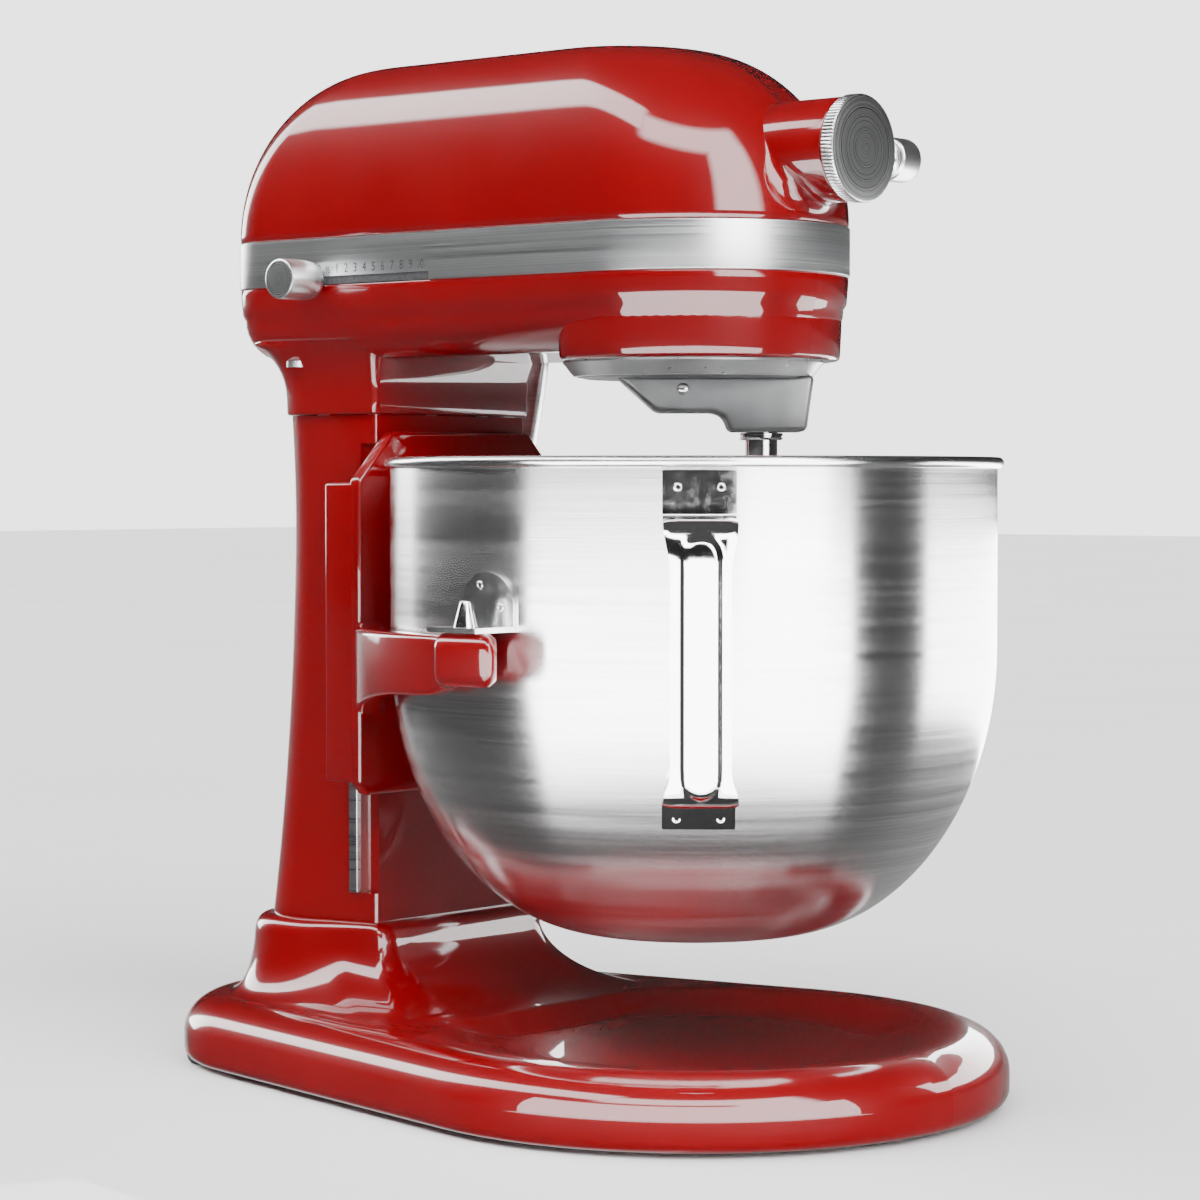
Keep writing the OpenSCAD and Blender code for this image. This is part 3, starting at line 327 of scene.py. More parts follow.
def skin_faces(count, rings, closed=False):
    """Quads between rings of count points, with a cap on each end unless the rings close on themselves."""
    faces = []
    for k in range(rings if closed else rings - 1):
        a, b = k * count, (k + 1) % rings * count
        faces += [(a + i, a + (i + 1) % count, b + (i + 1) % count, b + i) for i in range(count)]
    if not closed:
        faces += [tuple(range(count - 1, -1, -1)), tuple(range((rings - 1) * count, rings * count))]
    return faces


def solid_mesh(name, verts, faces):
    """A mesh with every face turned outwards."""
    mesh = bpy.data.meshes.new(name)
    mesh.from_pydata(verts, [], faces)
    edit = bmesh.new()
    edit.from_mesh(mesh)
    bmesh.ops.recalc_face_normals(edit, faces=edit.faces)
    edit.to_mesh(mesh)
    edit.free()
    return mesh


def skin(name, rings, closed=False):
    """A mesh over rings of equal length."""
    return solid_mesh(name, [p for ring in rings for p in ring], skin_faces(len(rings[0]), len(rings),
                                                                            closed))


def bezier(p, t):
    """A point at t on the cubic through four control points."""
    s = 1 - t
    return tuple(s ** 3 * a + 3 * s * s * t * b + 3 * s * t * t * c + t ** 3 * d for a, b, c, d in zip(*p))


def red_enamel(name="red_enamel"):
    """Stove enamel: deep red under a hard clear coat, with the faint ripple of a sprayed finish."""
    mat, tree, shader = node_material(name, (0.17, 0.0, 0.002), 0, 0.35, Coat_Weight=1.0, Coat_Roughness=0.03,
                                      Coat_IOR=1.6, Specular_IOR_Level=0.08)
    tint(tree, shader, grain(tree, 14, 2), (0.15, 0.0, 0.0018), (0.17, 0.0, 0.002))
    spread_over(tree, shader, "Roughness", grain(tree, 40), 0.30, 0.38)
    ripple = grain(tree, 420, 1.5)
    raise_by(tree, shader, ripple, 0.000004, "Coat Normal")
    return mat


enamel = red_enamel()
column_low, column_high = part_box("column")
base_low, base_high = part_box("base")
to_mm = 1 / MM
base_r = (AXIS.y - base_low.y) * to_mm
base_back = (base_high.y - AXIS.y) * to_mm
base_rear = 98
pedestal_z = base_high.z * to_mm
plate_top = 30
dish_z = 23
dish_r = (66, 104)
column_front = (column_low.y - AXIS.y) * to_mm
column_half = 46
column_back = column_front + 58
base_section = (-base_r, base_r, base_r, base_back - 1, base_rear - 6, 72)
shoulder_section = (column_front, column_half, 3, column_back + 10, column_half + 6, 22)


def dished(x, y, z):
    """Sinks a point of the plate's top into the round dish."""
    r = math.hypot(x, y)
    share = max(0.0, min(1.0, (dish_r[1] - r) / (dish_r[1] - dish_r[0])))
    return z - (plate_top - dish_z) * share * share * (3 - 2 * share)


def base_rings():
    """From under the skirt, over its edge, across the dished plate and up the pedestal."""
    rings = [level(base_section, 12, 18), level(base_section, 9, 2.6),
             level(base_section, 8, 2)]
    for z, t in ((2, 5), (2.5, 3.2), (3.6, 1.6), (5.2, 0.5), (7, 0), (10.5, 0), (14, 0)):
        rings.append(level(base_section, t, z))
    edge, rise, reach = 18, plate_top - 14, 10
    for k in range(1, reach + 1):
        a = math.pi / 2 * k / reach
        rings.append(level(base_section, edge * (1 - math.cos(a)), 14 + rise * math.sin(a)))
    rim = plan(*inset(base_section, edge))
    foot = plan(*shoulder_section)
    spans = [math.dist(a, b) for a, b in zip(rim, foot)]
    slopes = [min(66.0, s) for s in spans]
    flat = 30
    for k in range(1, flat + 1):
        ring = []
        for (ax, ay), (bx, by), s, w in zip(rim, foot, spans, slopes):
            t = (1 - w / s) * k / flat
            x, y = ax + (bx - ax) * t, ay + (by - ay) * t
            ring.append(from_axis(x, y, dished(x, y, plate_top)))
        rings.append(ring)
    flank_end, shoulder_r = 0.19, 8.6
    flank = ((1.0, plate_top), (0.52, plate_top), (0.24, 43), (flank_end, pedestal_z - 9))
    shoulder = ((shoulder_r, pedestal_z - 9), (8.2, pedestal_z - 3), (6, pedestal_z), (0.8, pedestal_z))
    for curve, scaled, steps in ((flank, True, 16), (shoulder, False, 9)):
        for k in range(1, steps + 1):
            d, z = bezier(curve, k / steps)
            ring = []
            for (ax, ay), (bx, by), s, w in zip(rim, foot, spans, slopes):
                # the flank ends where the shoulder's round begins, whatever its reach
                near = d * w if scaled else d
                if scaled:
                    near += (shoulder_r - flank_end * w) * (1 - d) / (1 - flank_end)
                t = 1 - min(near, w) / s
                ring.append(from_axis(ax + (bx - ax) * t, ay + (by - ay) * t, z))
            rings.append(ring)
    return rings


base_piece = link_piece("base_casting", skin("base_casting", base_rings()), enamel, 50)
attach(base_piece, "root")
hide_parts("base")

# ---------------------------------------------------------------- feet
# Five moulded rubber pucks, each with a chamfered tread, pushed into bosses
# under the base.


def lathe(name, profile, steps=64):
    """A mesh turned about +Z from (radius, height) points in mm; a zero radius closes an end."""
    verts, rows, faces = [], [], []
    for r, z in profile:
        if r < 1e-6:
            rows.append([len(verts)] * steps)
            verts.append((0, 0, z * MM))
            continue
        rows.append(list(range(len(verts), len(verts) + steps)))
        for i in range(steps):
            a = 2 * math.pi * i / steps
            verts.append((r * MM * math.cos(a), r * MM * math.sin(a), z * MM))
    for low, high in zip(rows, rows[1:]):
        for i in range(steps):
            j = (i + 1) % steps
            corners = list(dict.fromkeys((low[i], low[j], high[j], high[i])))
            if len(corners) > 2:
                faces.append(corners)
    return solid_mesh(name, verts, faces)


def stand_on(mesh, place, along=Vector((0, 0, 1))):
    """Turns a mesh made about +Z to lie along a direction from a place."""
    mesh.transform(Matrix.Translation(place) @ along.to_track_quat("Z", "Y").to_matrix().to_4x4())
    return mesh


def joined(name, meshes):
    """One mesh from several."""
    edit = bmesh.new()
    for mesh in meshes:
        edit.from_mesh(mesh)
    whole = bpy.data.meshes.new(name)
    edit.to_mesh(whole)
    edit.free()
    return whole


def moulded_rubber():
    """Black rubber with a dull moulded skin."""
    mat, tree, shader = node_material("foot_rubber", (0.03, 0.03, 0.03), 0, 0.75)
    tint(tree, shader, grain(tree, 90), (0.022, 0.022, 0.023), (0.045, 0.045, 0.046))
    raise_by(tree, shader, grain(tree, 900), 0.00005)
    return mat


foot_low, foot_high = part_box("rubber_feet")
foot_r = 12
foot_y = (foot_low.y - AXIS.y) * to_mm + foot_r
foot_back = (foot_high.y - AXIS.y) * to_mm - foot_r
foot_wide = foot_high.x * to_mm - foot_r
foot_in = base_rear - 34
foot_side_y = 14
foot_h = 18
feet = []
for x, y in ((0, foot_y), (-foot_wide, foot_side_y), (foot_wide, foot_side_y), (-foot_in, foot_back),
             (foot_in, foot_back)):
    puck = lathe("foot", [(0, 0), (foot_r - 2.2, 0), (foot_r - 1.4, 0.3), (foot_r - 0.4, 1.6), (foot_r, 3),
                          (foot_r, foot_h), (0, foot_h)], 48)
    feet.append(stand_on(puck, from_axis(x, y, 0)))
feet_piece = link_piece("rubber_pucks", joined("rubber_pucks", feet), moulded_rubber())
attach(feet_piece, "root")
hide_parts("rubber_feet")

# ---------------------------------------------------------------- column
# A hollow casting bolted to the pedestal. Its sharp front corners guide the
# carriage, and its round back flares out to meet the base.


def cut_out(piece, *tools):
    """Takes tool meshes out of a closed piece and leaves a plain mesh."""
    for tool in tools:
        cutter = bpy.data.objects.new("tool", tool)
        bpy.context.scene.collection.objects.link(cutter)
        chop = piece.modifiers.new("chop", "BOOLEAN")
        chop.operation = "DIFFERENCE"
        chop.solver = "EXACT"
        chop.object = cutter
        shaped = bpy.data.meshes.new_from_object(piece.evaluated_get(bpy.context.evaluated_depsgraph_get()))
        piece.modifiers.clear()
        old = piece.data
        piece.data = shaped
        shaped.name = old.name
        bpy.data.objects.remove(cutter)
    piece.data.polygons.foreach_set("use_smooth", [True] * len(piece.data.polygons))
    return piece


def block(name, low, high, soft=0.0, steps=3):
    """A box in metres with rounded edges."""
    edit = bmesh.new()
    bmesh.ops.create_cube(edit, size=1)
    size = high - low
    for v in edit.verts:
        v.co = Vector(((v.co.x + 0.5) * size.x + low.x, (v.co.y + 0.5) * size.y + low.y,
                       (v.co.z + 0.5) * size.z + low.z))
    if soft:
        bmesh.ops.bevel(edit, geom=edit.edges[:], offset=soft, segments=steps, profile=0.5, affect="EDGES")
    mesh = bpy.data.meshes.new(name)
    edit.to_mesh(mesh)
    edit.free()
    return mesh


column_top = column_high.z * to_mm
column_wall = 4


def column_section(z):
    """The column's plan at a height: its back and sides flare out at the foot, and a little at the top."""
    t = (z - pedestal_z) / (column_top - pedestal_z)
    flare = (1 - t) ** 2.4 + 0.16 * max(0.0, (t - 0.7) / 0.3) ** 2
    return (column_front, column_half, 1.6, column_back + 9 * flare, column_half + 5.5 * flare, 20)


levels = [pedestal_z + (column_top - pedestal_z) * k / 28 for k in range(29)]
column_rings = [level(column_section(z), 0, z) for z in levels]
column_rings += [level(column_section(z), column_wall, z) for z in reversed(levels)]
column_piece = link_piece("column_casting", skin("column_casting", column_rings, closed=True), enamel)


def side_block(name, side, x_span, y_span, z_span, soft=0.0, steps=3):
    """A block on one side of the mixer, from spans in mm measured from the bowl's axis."""
    xs = sorted(side * x for x in x_span)
    low, high = (from_axis(*corner) for corner in zip(xs, y_span, z_span))
    return block(name, low, high, soft, steps)


window_half = 6.5
link_window = block("window", from_axis(-window_half, column_front - 3, 184),
                    from_axis(window_half, column_front + 6, 256))
rail_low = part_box("column_rails")[0].z * to_mm
guides = [side_block("guide", side, (column_half - 1.6, column_half + 2), (column_front - 1,
                                                                           column_front + 8.4),
                     (rail_low, 262)) for side in (-1, 1)]
cut_out(column_piece, link_window, joined("guides", guides))
column_piece.data.set_sharp_from_angle(angle=math.radians(40))
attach(column_piece, "root")
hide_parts("column")

# ---------------------------------------------------------------- guide rails
# Two ground steel strips let into the column's sides, which the carriage's
# flanges run on.


def brushed_metal(name, dark, light, rough, lines, length=6.0):
    """Metal with fine level brush marks."""
    mat, tree, shader = node_material(name, light, 1.0, rough)
    marks = grain(tree, 1.0, 2.0, 0.6, (length, length, lines))
    tint(tree, shader, marks, dark, light)
    spread_over(tree, shader, "Roughness", marks, rough - 0.05, rough + 0.07)
    raise_by(tree, shader, marks, 0.00002)
    return mat


rails = [side_block("rail", side, (column_half - 1, column_half + 2.6), (column_front + 8.6,
                                                                         column_front + 13.4),
                    (rail_low, 246), 0.0004) for side in (-1, 1)]
rail_steel = brushed_metal("rail_steel", (0.40, 0.40, 0.41), (0.56, 0.56, 0.57), 0.30, 900)
rail_piece = link_piece("guide_rails", joined("guide_rails", rails), rail_steel, 35)
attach(rail_piece, "root")
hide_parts("column_rails")

# ---------------------------------------------------------------- lower head
# The gearcase and motor bay: one casting with a neck over the column, a round
# belly and a collar at the front that holds the ring gear.

head_w = 123
head_front = head_w / 2
head_back = (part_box("head_lower")[1].y - AXIS.y) * to_mm
head_low = 294
crease_z = 310
band_low, band_high = (v.z * to_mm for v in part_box("trim_band"))
rear_corner = 26
body_section = (-head_front, head_front, head_front, head_back, head_front, rear_corner)


def body_rings():
    """From the underside round the lower edge and up to the trim band."""
    belly, low = 17, 297
    rings = [level(body_section, 30, low)]
    for k in range(10):
        a = math.pi / 2 * k / 9
        rings.append(level(body_section, 2.2 + belly * (1 - math.sin(a)),
                           low + (crease_z + 4 - low) * (1 - math.cos(a))))
    for z in (316, 320, 324):
        rings.append(level(body_section, 1.5 * (band_low - z) / (band_low - crease_z), z))
    rings.append(level(body_section, 0.25, band_low - 0.6))
    rings.append(level(body_section, 0.7, band_low - 0.05))
    wall = 4
    rings.append(level(body_section, wall, band_low - 0.05))
    rings.append(level(body_section, wall + 1, 318))
    return rings


head_piece = link_piece("gearcase_casting", skin("gearcase_casting", body_rings()), enamel, 50)
vent_pitch = 9
vents = [block("vent", from_axis(i * vent_pitch - 2, head_back - 12, crease_z + 4),
               from_axis(i * vent_pitch + 2, head_back + 9, crease_z + 13), 0.0018) for i in range(-3, 4)]
cut_out(head_piece, joined("vents", vents))
head_piece.data.set_sharp_from_angle(angle=math.radians(50))
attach(head_piece, "root")
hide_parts("head_lower")

# ---------------------------------------------------------------- collar
# The round collar under the front of the gearcase, of the same enamelled
# casting, which holds the ring gear and ends behind each side of it.

collar_section = (-head_front + 2.8, head_front - 2.8, head_front - 2.8, 29, head_front - 3.4, 15)
collar_rings = [level(collar_section, 9, head_low - 0.2)]
for z, t in ((-0.2, 2.6), (0, 1.7), (0.6, 1.0), (1.6, 0.7), (8, 0.35), (14, 0.1), (19, 0), (22, 0), (22, 9)):
    collar_rings.append(level(collar_section, t, head_low + z))
collar = link_piece("gearcase_collar", skin("gearcase_collar", collar_rings, closed=True), enamel, 50)
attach(collar, "root")

# ---------------------------------------------------------------- neck
# The gearcase's neck, which steps out over the column's top and flares up
# into the belly. It is part of the same enamelled casting.

neck_low = column_top
neck_foot = (column_front - 1.5, column_half + 1.8, 3, column_back + 3.2, column_half + 3.4, 22)
neck_rings = [level(neck_foot, 5, neck_low + 0.2), level(neck_foot, 0.7, neck_low + 0.2),
              level(neck_foot, 0.2, neck_low + 0.6), level(neck_foot, 0, neck_low + 1.4)]
neck_rise, neck_grow, neck_steps = 31, 19, 12
for k in range(1, neck_steps + 1):
    a = math.pi / 2 * k / neck_steps
    grow = neck_grow * (1 - math.cos(a)) ** 1.15
    front, half, front_r, back, rear_half, rear_r = neck_foot
    flared = (front - grow * 0.55, min(half + grow * 0.55, 57), front_r + grow * 0.5,
              min(back + grow, head_back - 5), min(rear_half + grow * 0.8, 57.5), rear_r + grow * 0.1)
    neck_rings.append(level(flared, 0, neck_low + 4 + (neck_rise - 4) * math.sin(a)))
neck = link_piece("gearcase_neck", skin("gearcase_neck", neck_rings), enamel, 50)
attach(neck, "root")

# ---------------------------------------------------------------- trim band
# A strip of brushed aluminium rolled round the head's widest line. The speed
# slot is nibbled out of its lower edge.

trim_metal = brushed_metal("trim_aluminium", (0.56, 0.57, 0.58), (0.74, 0.745, 0.75), 0.33, 2600)
proud = 0.35
band_rings = []
for z, t in ((0, 0.3), (0.15, 0.05), (0.5, 0), (9.5, 0), (18.5, 0), (18.85, 0.05), (19, 0.3), (19, 3),
             (0, 3)):
    band_rings.append(level(body_section, t - proud, band_low + z * (band_high - band_low) / 19))
band = link_piece("rolled_trim_band", skin("rolled_trim_band", band_rings, closed=True), trim_metal, 30)
knob_low, knob_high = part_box("speed_knob")
knob_y = (knob_low.y + knob_high.y) / 2
travel = next(j for j in frame["joints"] if j["name"] == "speed_slide")["range_m"][1]
slot_high = band_low * MM + 0.0034
slot_cut = block("slot", Vector((-0.075, knob_y - travel - 0.010, band_low * MM - 0.002)),
                 Vector((-0.055, knob_y + 0.005, slot_high)))
cut_out(band, slot_cut)
band.data.set_sharp_from_angle(angle=math.radians(30))
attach(band, "root")
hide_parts("trim_band")

# ---------------------------------------------------------------- slot lining and numerals
# A black plastic lining behind the speed slot, and the speeds printed in the
# same black on the band over it.


def printed_ink():
    """Black ink and plastic with a faint grain."""
    mat, tree, shader = node_material("printed_ink", (0.03, 0.03, 0.035), 0, 0.55)
    tint(tree, shader, grain(tree, 700), (0.025, 0.025, 0.028), (0.06, 0.06, 0.065))
    return mat


ink = printed_ink()
lining = block("slot_lining", Vector((-0.0612, knob_y - travel - 0.0105, band_low * MM + 0.0001)),
               Vector((-0.0585, knob_y + 0.0055, slot_high + 0.0006)), 0.0002)
slot_lining = link_piece("slot_lining", lining, ink)
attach(slot_lining, "root")
speeds = ["0", "½"] + [str(speed) for speed in range(1, 11)]
numeral_h = 0.0052
marks = []
for i, word in enumerate(speeds):
    curve = bpy.data.curves.new("speed_" + str(i), "FONT")
    curve.body = word
    curve.size = numeral_h * (0.8 if i == 1 else 1)
    curve.align_x = "CENTER"
    curve.extrude = 0.00006
    curve.resolution_u = 4
    text = bpy.data.objects.new("numeral", curve)
    bpy.context.scene.collection.objects.link(text)
    shape = bpy.data.meshes.new_from_object(text.evaluated_get(bpy.context.evaluated_depsgraph_get()))
    bpy.data.objects.remove(text)
    reads = Matrix(((0, 0, -1, 0), (-0.82, 0, 0, 0), (0, 1, 0, 0), (0, 0, 0, 1)))
    y = knob_y - 0.0015 - (travel + 0.004) * i / (len(speeds) - 1)
    shape.transform(Matrix.Translation((-(head_front + proud + 0.02) * MM, y, slot_high + 0.0013)) @ reads)
    marks.append(shape)
numerals = link_piece("speed_numerals", joined("speed_numerals", marks), ink)
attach(numerals, "root")

# ---------------------------------------------------------------- head cover
# The top cover: a deep casting, drawn in along an ellipse to a flat ridge,
# with the round attachment hub cast on its nose.

cover_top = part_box("head_cover")[1].z * to_mm
cover_h = cover_top - band_high


def quarter(h):
    """How far a quarter ellipse has drawn in at a share h of its height."""
    return 1 - math.sqrt(max(0.0, 1 - h * h))


def cover_section(z):
    """The cover's plan at a height."""
    top = quarter((z - band_high) / cover_h)
    side = quarter(max(0.0, z - band_high - 4) / (cover_h - 4))
    w = head_front - 34 * side
    return (-head_front + 74 * top, w, w, head_back - 56 * top, w, rear_corner)


def cover_rings():
    """From the inside of the cover, round its lower edge and up to the flat ridge."""
    wall = 4
    rings = [level(cover_section(band_high + cover_h * 0.9), 12, band_high + cover_h * 0.86),
             level(cover_section(band_high + cover_h * 0.6), wall, band_high + cover_h * 0.56),
             level(cover_section(band_high), wall, band_high + 0.05)]
    rings.append(level(cover_section(band_high), 0.7, band_high + 0.05))
    rings.append(level(cover_section(band_high), 0.2, band_high + 0.6))
    steps = 34
    for k in range(1, steps + 1):
        a = math.pi / 2 * k / steps
        z = band_high + cover_h * math.sin(a)
        if z > band_high + 1:
            rings.append(level(cover_section(z), 0, z))
    flat = cover_section(cover_top)
    for t in (4, 10, 17, 24):
        rings.append(level(flat, t, cover_top))
    return rings


cover = link_piece("top_cover", skin("top_cover", cover_rings()), enamel, 50)
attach(cover, "root")
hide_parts("head_cover")

# ---------------------------------------------------------------- hub barrel
# The round barrel that attachments plug into, cast on the cover's nose in
# the same enamel and blended into it with a fillet.

hub_low, hub_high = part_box("hub_cap")
hub_z = (hub_low.z + hub_high.z) / 2 * to_mm
hub_r = 20
hub_bore = 16
hub_front = 77
hub_depth = 34
fillet = 8


def hub_rings(count=96):
    """The barrel: out of its bore, over the front edge, back to the cover and out along a fillet."""
    tree = BVHTree.FromObject(cover, bpy.context.evaluated_depsgraph_get())
    angles = [2 * math.pi * i / count for i in range(count)]
    rings = []
    for r, y in ((hub_bore, hub_depth - hub_front), (hub_bore, 0.5 - hub_front), (hub_bore + 0.5, -hub_front),
                 (hub_r - 0.5, -hub_front), (hub_r, 0.5 - hub_front)):
        rings.append([from_axis(r * math.cos(a), y, hub_z + r * math.sin(a)) for a in angles])
    ends = []
    for a in angles:
        out = Vector((math.cos(a), 0, math.sin(a)))
        # the fillet is held off the trim band under the hub
        wide = min(fillet, (hub_z - hub_r - band_high - 1.2) / max(0.01, -out.z))
        start = from_axis(0, -200, hub_z) + out * (hub_r + wide) * MM
        hit, normal, _, _ = tree.ray_cast(start, Vector((0, 1, 0)))
        slide = (out - normal * out.dot(normal)).normalized()
        root = from_axis(0, 0, hub_z) + out * hub_r * MM
        root.y = hit.y - (wide + 1.0 - wide * slide.y) * MM
        root.y = max(root.y, from_axis(0, -hub_front + 2, 0).y)
        ends.append((root, hit - normal * 0.00005, slide))
    steps = 12
    for k in range(steps + 1):
        ring = []
        for root, hit, slide in ends:
            pull = (hit - root).length * 0.42
            ring.append(Vector(bezier((root, root + Vector((0, pull, 0)), hit - slide * pull, hit),
                                      k / steps)))
        rings.append(ring)
    # the last rings sink under the cover's skin
    rings.append([hit + slide * 0.0005 + Vector((0, 0.0008, 0)) for _, hit, slide in ends])
    middle = Vector((AXIS.x, 0, hub_z * MM))
    rings.append([p + Vector((0, 0.006, 0)) - (Vector((p.x, 0, p.z)) - middle) * 0.3 for p in rings[-1]])
    return rings


hub = link_piece("hub_barrel", skin("hub_barrel", hub_rings()), enamel, 50)
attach(hub, "root")

# ---------------------------------------------------------------- hub cap
# A turned aluminium cap with a knurled edge and a faintly domed face, which
# plugs the hub when no attachment is in it.


def turned_metal(name, dark, light, rough, centre, along):
    """Metal with the fine rings of a facing cut about an axis."""
    mat, tree, shader = node_material(name, light, 1.0, rough)
    place = tree.nodes.new("ShaderNodeTexCoord")
    shift = tree.nodes.new("ShaderNodeVectorMath")
    shift.operation = "SUBTRACT"
    shift.inputs[1].default_value = centre
    flat = tree.nodes.new("ShaderNodeVectorMath")
    flat.operation = "MULTIPLY"
    flat.inputs[1].default_value = [1 - abs(c) for c in along]
    size = tree.nodes.new("ShaderNodeVectorMath")
    size.operation = "LENGTH"
    rings = tree.nodes.new("ShaderNodeTexNoise")
    rings.noise_dimensions = "1D"
    rings.inputs["Scale"].default_value = 2200
    rings.inputs["Detail"].default_value = 2
    tree.links.new(place.outputs["Object"], shift.inputs[0])
    tree.links.new(shift.outputs[0], flat.inputs[0])
    tree.links.new(flat.outputs[0], size.inputs[0])
    tree.links.new(size.outputs["Value"], rings.inputs["W"])
    tint(tree, shader, rings.outputs["Fac"], dark, light)
    spread_over(tree, shader, "Roughness", rings.outputs["Fac"], rough - 0.05, rough + 0.06)
    raise_by(tree, shader, rings.outputs["Fac"], 0.00001)
    return mat


cap_r = hub_r + 0.7
knurls = 96


def knurled_cap():
    """A lathe profile whose edge points move in and out round the cap."""
    profile = [(hub_bore - 2, -6), (hub_bore - 0.3, -6), (hub_bore - 0.3, 0.4), (cap_r - 0.8, 0.4),
               (cap_r - 0.35, 0.9),
               (cap_r, 1.3), (cap_r, 5.6), (cap_r - 0.4, 6.1), (cap_r - 1.3, 6.5), (cap_r - 2.0, 6.5),
               (cap_r - 2.3, 6.62),
               (13, 6.85), (6, 6.97), (0, 7.0)]
    mesh = lathe("hub_cap_turned", [(0, -1)] + [(hub_bore - 2, -1)] + profile, knurls * 4)
    for v in mesh.vertices:
        z = v.co.z * to_mm
        if 1.2 < z < 5.7:
            turn = math.atan2(v.co.y, v.co.x)
            v.co.xy *= 1 - 0.0145 * (0.5 + 0.5 * math.cos(turn * knurls))
    return mesh


hub_mouth = from_axis(0, -hub_front, hub_z)
cap_metal = turned_metal("cap_aluminium", (0.60, 0.605, 0.61), (0.76, 0.765, 0.77), 0.30, hub_mouth,
                         (0, 1, 0))
cap = link_piece("hub_cap_turned", stand_on(knurled_cap(), hub_mouth, Vector((0, -1, 0))), cap_metal, 30)
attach(cap, "cap")
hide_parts("hub_cap")

# ---------------------------------------------------------------- clamp knob
# A turned aluminium knob on the free side of the hub. Its screw pins an
# attachment's shank in the bore.

clamp_low, clamp_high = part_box("clamp_knob")
clamp_y = (clamp_low.y + clamp_high.y) / 2
clamp_from = Vector((hub_bore * MM + 0.0004, clamp_y, hub_z * MM))
clamp_len = (clamp_high.x - clamp_from.x) * to_mm
clamp_r = 8.7
head_at = clamp_len - 13
clamp_profile = [(0, 0), (4, 0), (4, 4.8), (5.0, 4.8), (5.6, 5.4), (5.6, head_at - 1.2), (6.2, head_at - 0.4),
                 (7.4, head_at),
                 (clamp_r - 0.5, head_at + 0.3), (clamp_r, head_at + 1.0), (clamp_r, clamp_len - 1.6),
                 (clamp_r - 0.25, clamp_len - 0.7), (clamp_r - 0.9, clamp_len - 0.15), (clamp_r - 1.6,
                                                                                        clamp_len),
                 (0, clamp_len)]
knob_metal = turned_metal("knob_aluminium", (0.58, 0.585, 0.59), (0.74, 0.745, 0.75), 0.30, clamp_from,
                          (1, 0, 0))
clamp = link_piece("clamp_knob_turned", stand_on(lathe("clamp_knob_turned", clamp_profile, 96), clamp_from,
                                                 Vector((1, 0, 0))),
                   knob_metal, 35)
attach(clamp, "clamp")
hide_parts("clamp_knob")

# ---------------------------------------------------------------- speed knob
# A plain turned knob on a flat stem that runs in the slot of the trim band.

knob_r = 8.2
knob_len = 20.5
knob_base = Vector((-(head_front + 1.6) * MM, knob_y, (knob_low.z + knob_high.z) / 2))
knob_profile = [(0, 0), (knob_r - 3.6, 0), (knob_r - 2.2, 0.7), (knob_r - 1.1, 1.9), (knob_r - 0.45, 3.6),
                (knob_r - 0.15, 5.6),
                (knob_r, 8), (knob_r, knob_len - 1.0), (knob_r - 0.2, knob_len - 0.45),
                (knob_r - 0.7, knob_len - 0.1),
                (knob_r - 1.2, knob_len), (0, knob_len)]
knob_turned = stand_on(lathe("knob", knob_profile, 96), knob_base, Vector((-1, 0, 0)))
stem = block("stem", Vector((knob_base.x - 0.001, knob_y - 0.003, knob_base.z - 0.0013)),
             Vector((knob_high.x, knob_y + 0.003, knob_base.z + 0.0013)), 0.0004)
speed_metal = turned_metal("speed_knob_aluminium", (0.58, 0.585, 0.59), (0.74, 0.745, 0.75), 0.32, knob_base,
                           (1, 0, 0))
knob = link_piece("speed_knob_turned", joined("speed_knob_turned", [knob_turned, stem]), speed_metal, 35)
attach(knob, "speed_control")
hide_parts("speed_knob")

# ---------------------------------------------------------------- drip ring
# A dull grey cast ring pressed under the collar. It catches any grease from
# the ring gear above it.


def cast_grey(name, dark, light, rough=0.42):
    """Bare or thinly painted casting: satin, with a fine skin."""
    mat, tree, shader = node_material(name, light, 0.75, rough)
    tint(tree, shader, grain(tree, 60), dark, light)
    spread_over(tree, shader, "Roughness", grain(tree, 130), rough - 0.04, rough + 0.08)
    raise_by(tree, shader, grain(tree, 1500, 2), 0.00001)
    return mat


ring_low, ring_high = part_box("drip_ring")
ring_out = (ring_high.x - ring_low.x) / 2 * to_mm
ring_z = ring_high.z * to_mm
disc_r = 45
ring_profile = [(disc_r + 1, ring_z - 6.4), (ring_out - 6.2, ring_z - 6.4), (ring_out - 4.6, ring_z - 6.1),
                (ring_out - 3.2, ring_z - 4.6),
                (ring_out - 1.3, ring_z - 2.0), (ring_out - 0.2, ring_z - 0.9), (ring_out - 0.2, ring_z),
                (disc_r + 1, ring_z), (disc_r + 1, ring_z - 6.4)]
drip = link_piece("drip_ring_cast", stand_on(lathe("drip_ring_cast", ring_profile, 160), AXIS.copy()),
                  cast_grey("ring_grey", (0.40, 0.405, 0.41), (0.52, 0.525, 0.53), 0.30), 35)
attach(drip, "root")
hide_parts("drip_ring")

# ---------------------------------------------------------------- planetary housing
# A grey casting that turns under the head: a round disc, an arm that slopes
# up at its free end, and a box at the other end for the agitator shaft.


def softened(name, edit, width, steps=4):
    """Rounds every sharp edge of a bmesh and returns the mesh."""
    sharp = [e for e in edit.edges if e.calc_face_angle(0) > math.radians(25)]
    bmesh.ops.bevel(edit, geom=sharp, offset=width, segments=steps, profile=0.5, affect="EDGES",
                    clamp_overlap=True)
    bmesh.ops.recalc_face_normals(edit, faces=edit.faces)
    mesh = bpy.data.meshes.new(name)
    edit.to_mesh(mesh)
    edit.free()
    return mesh


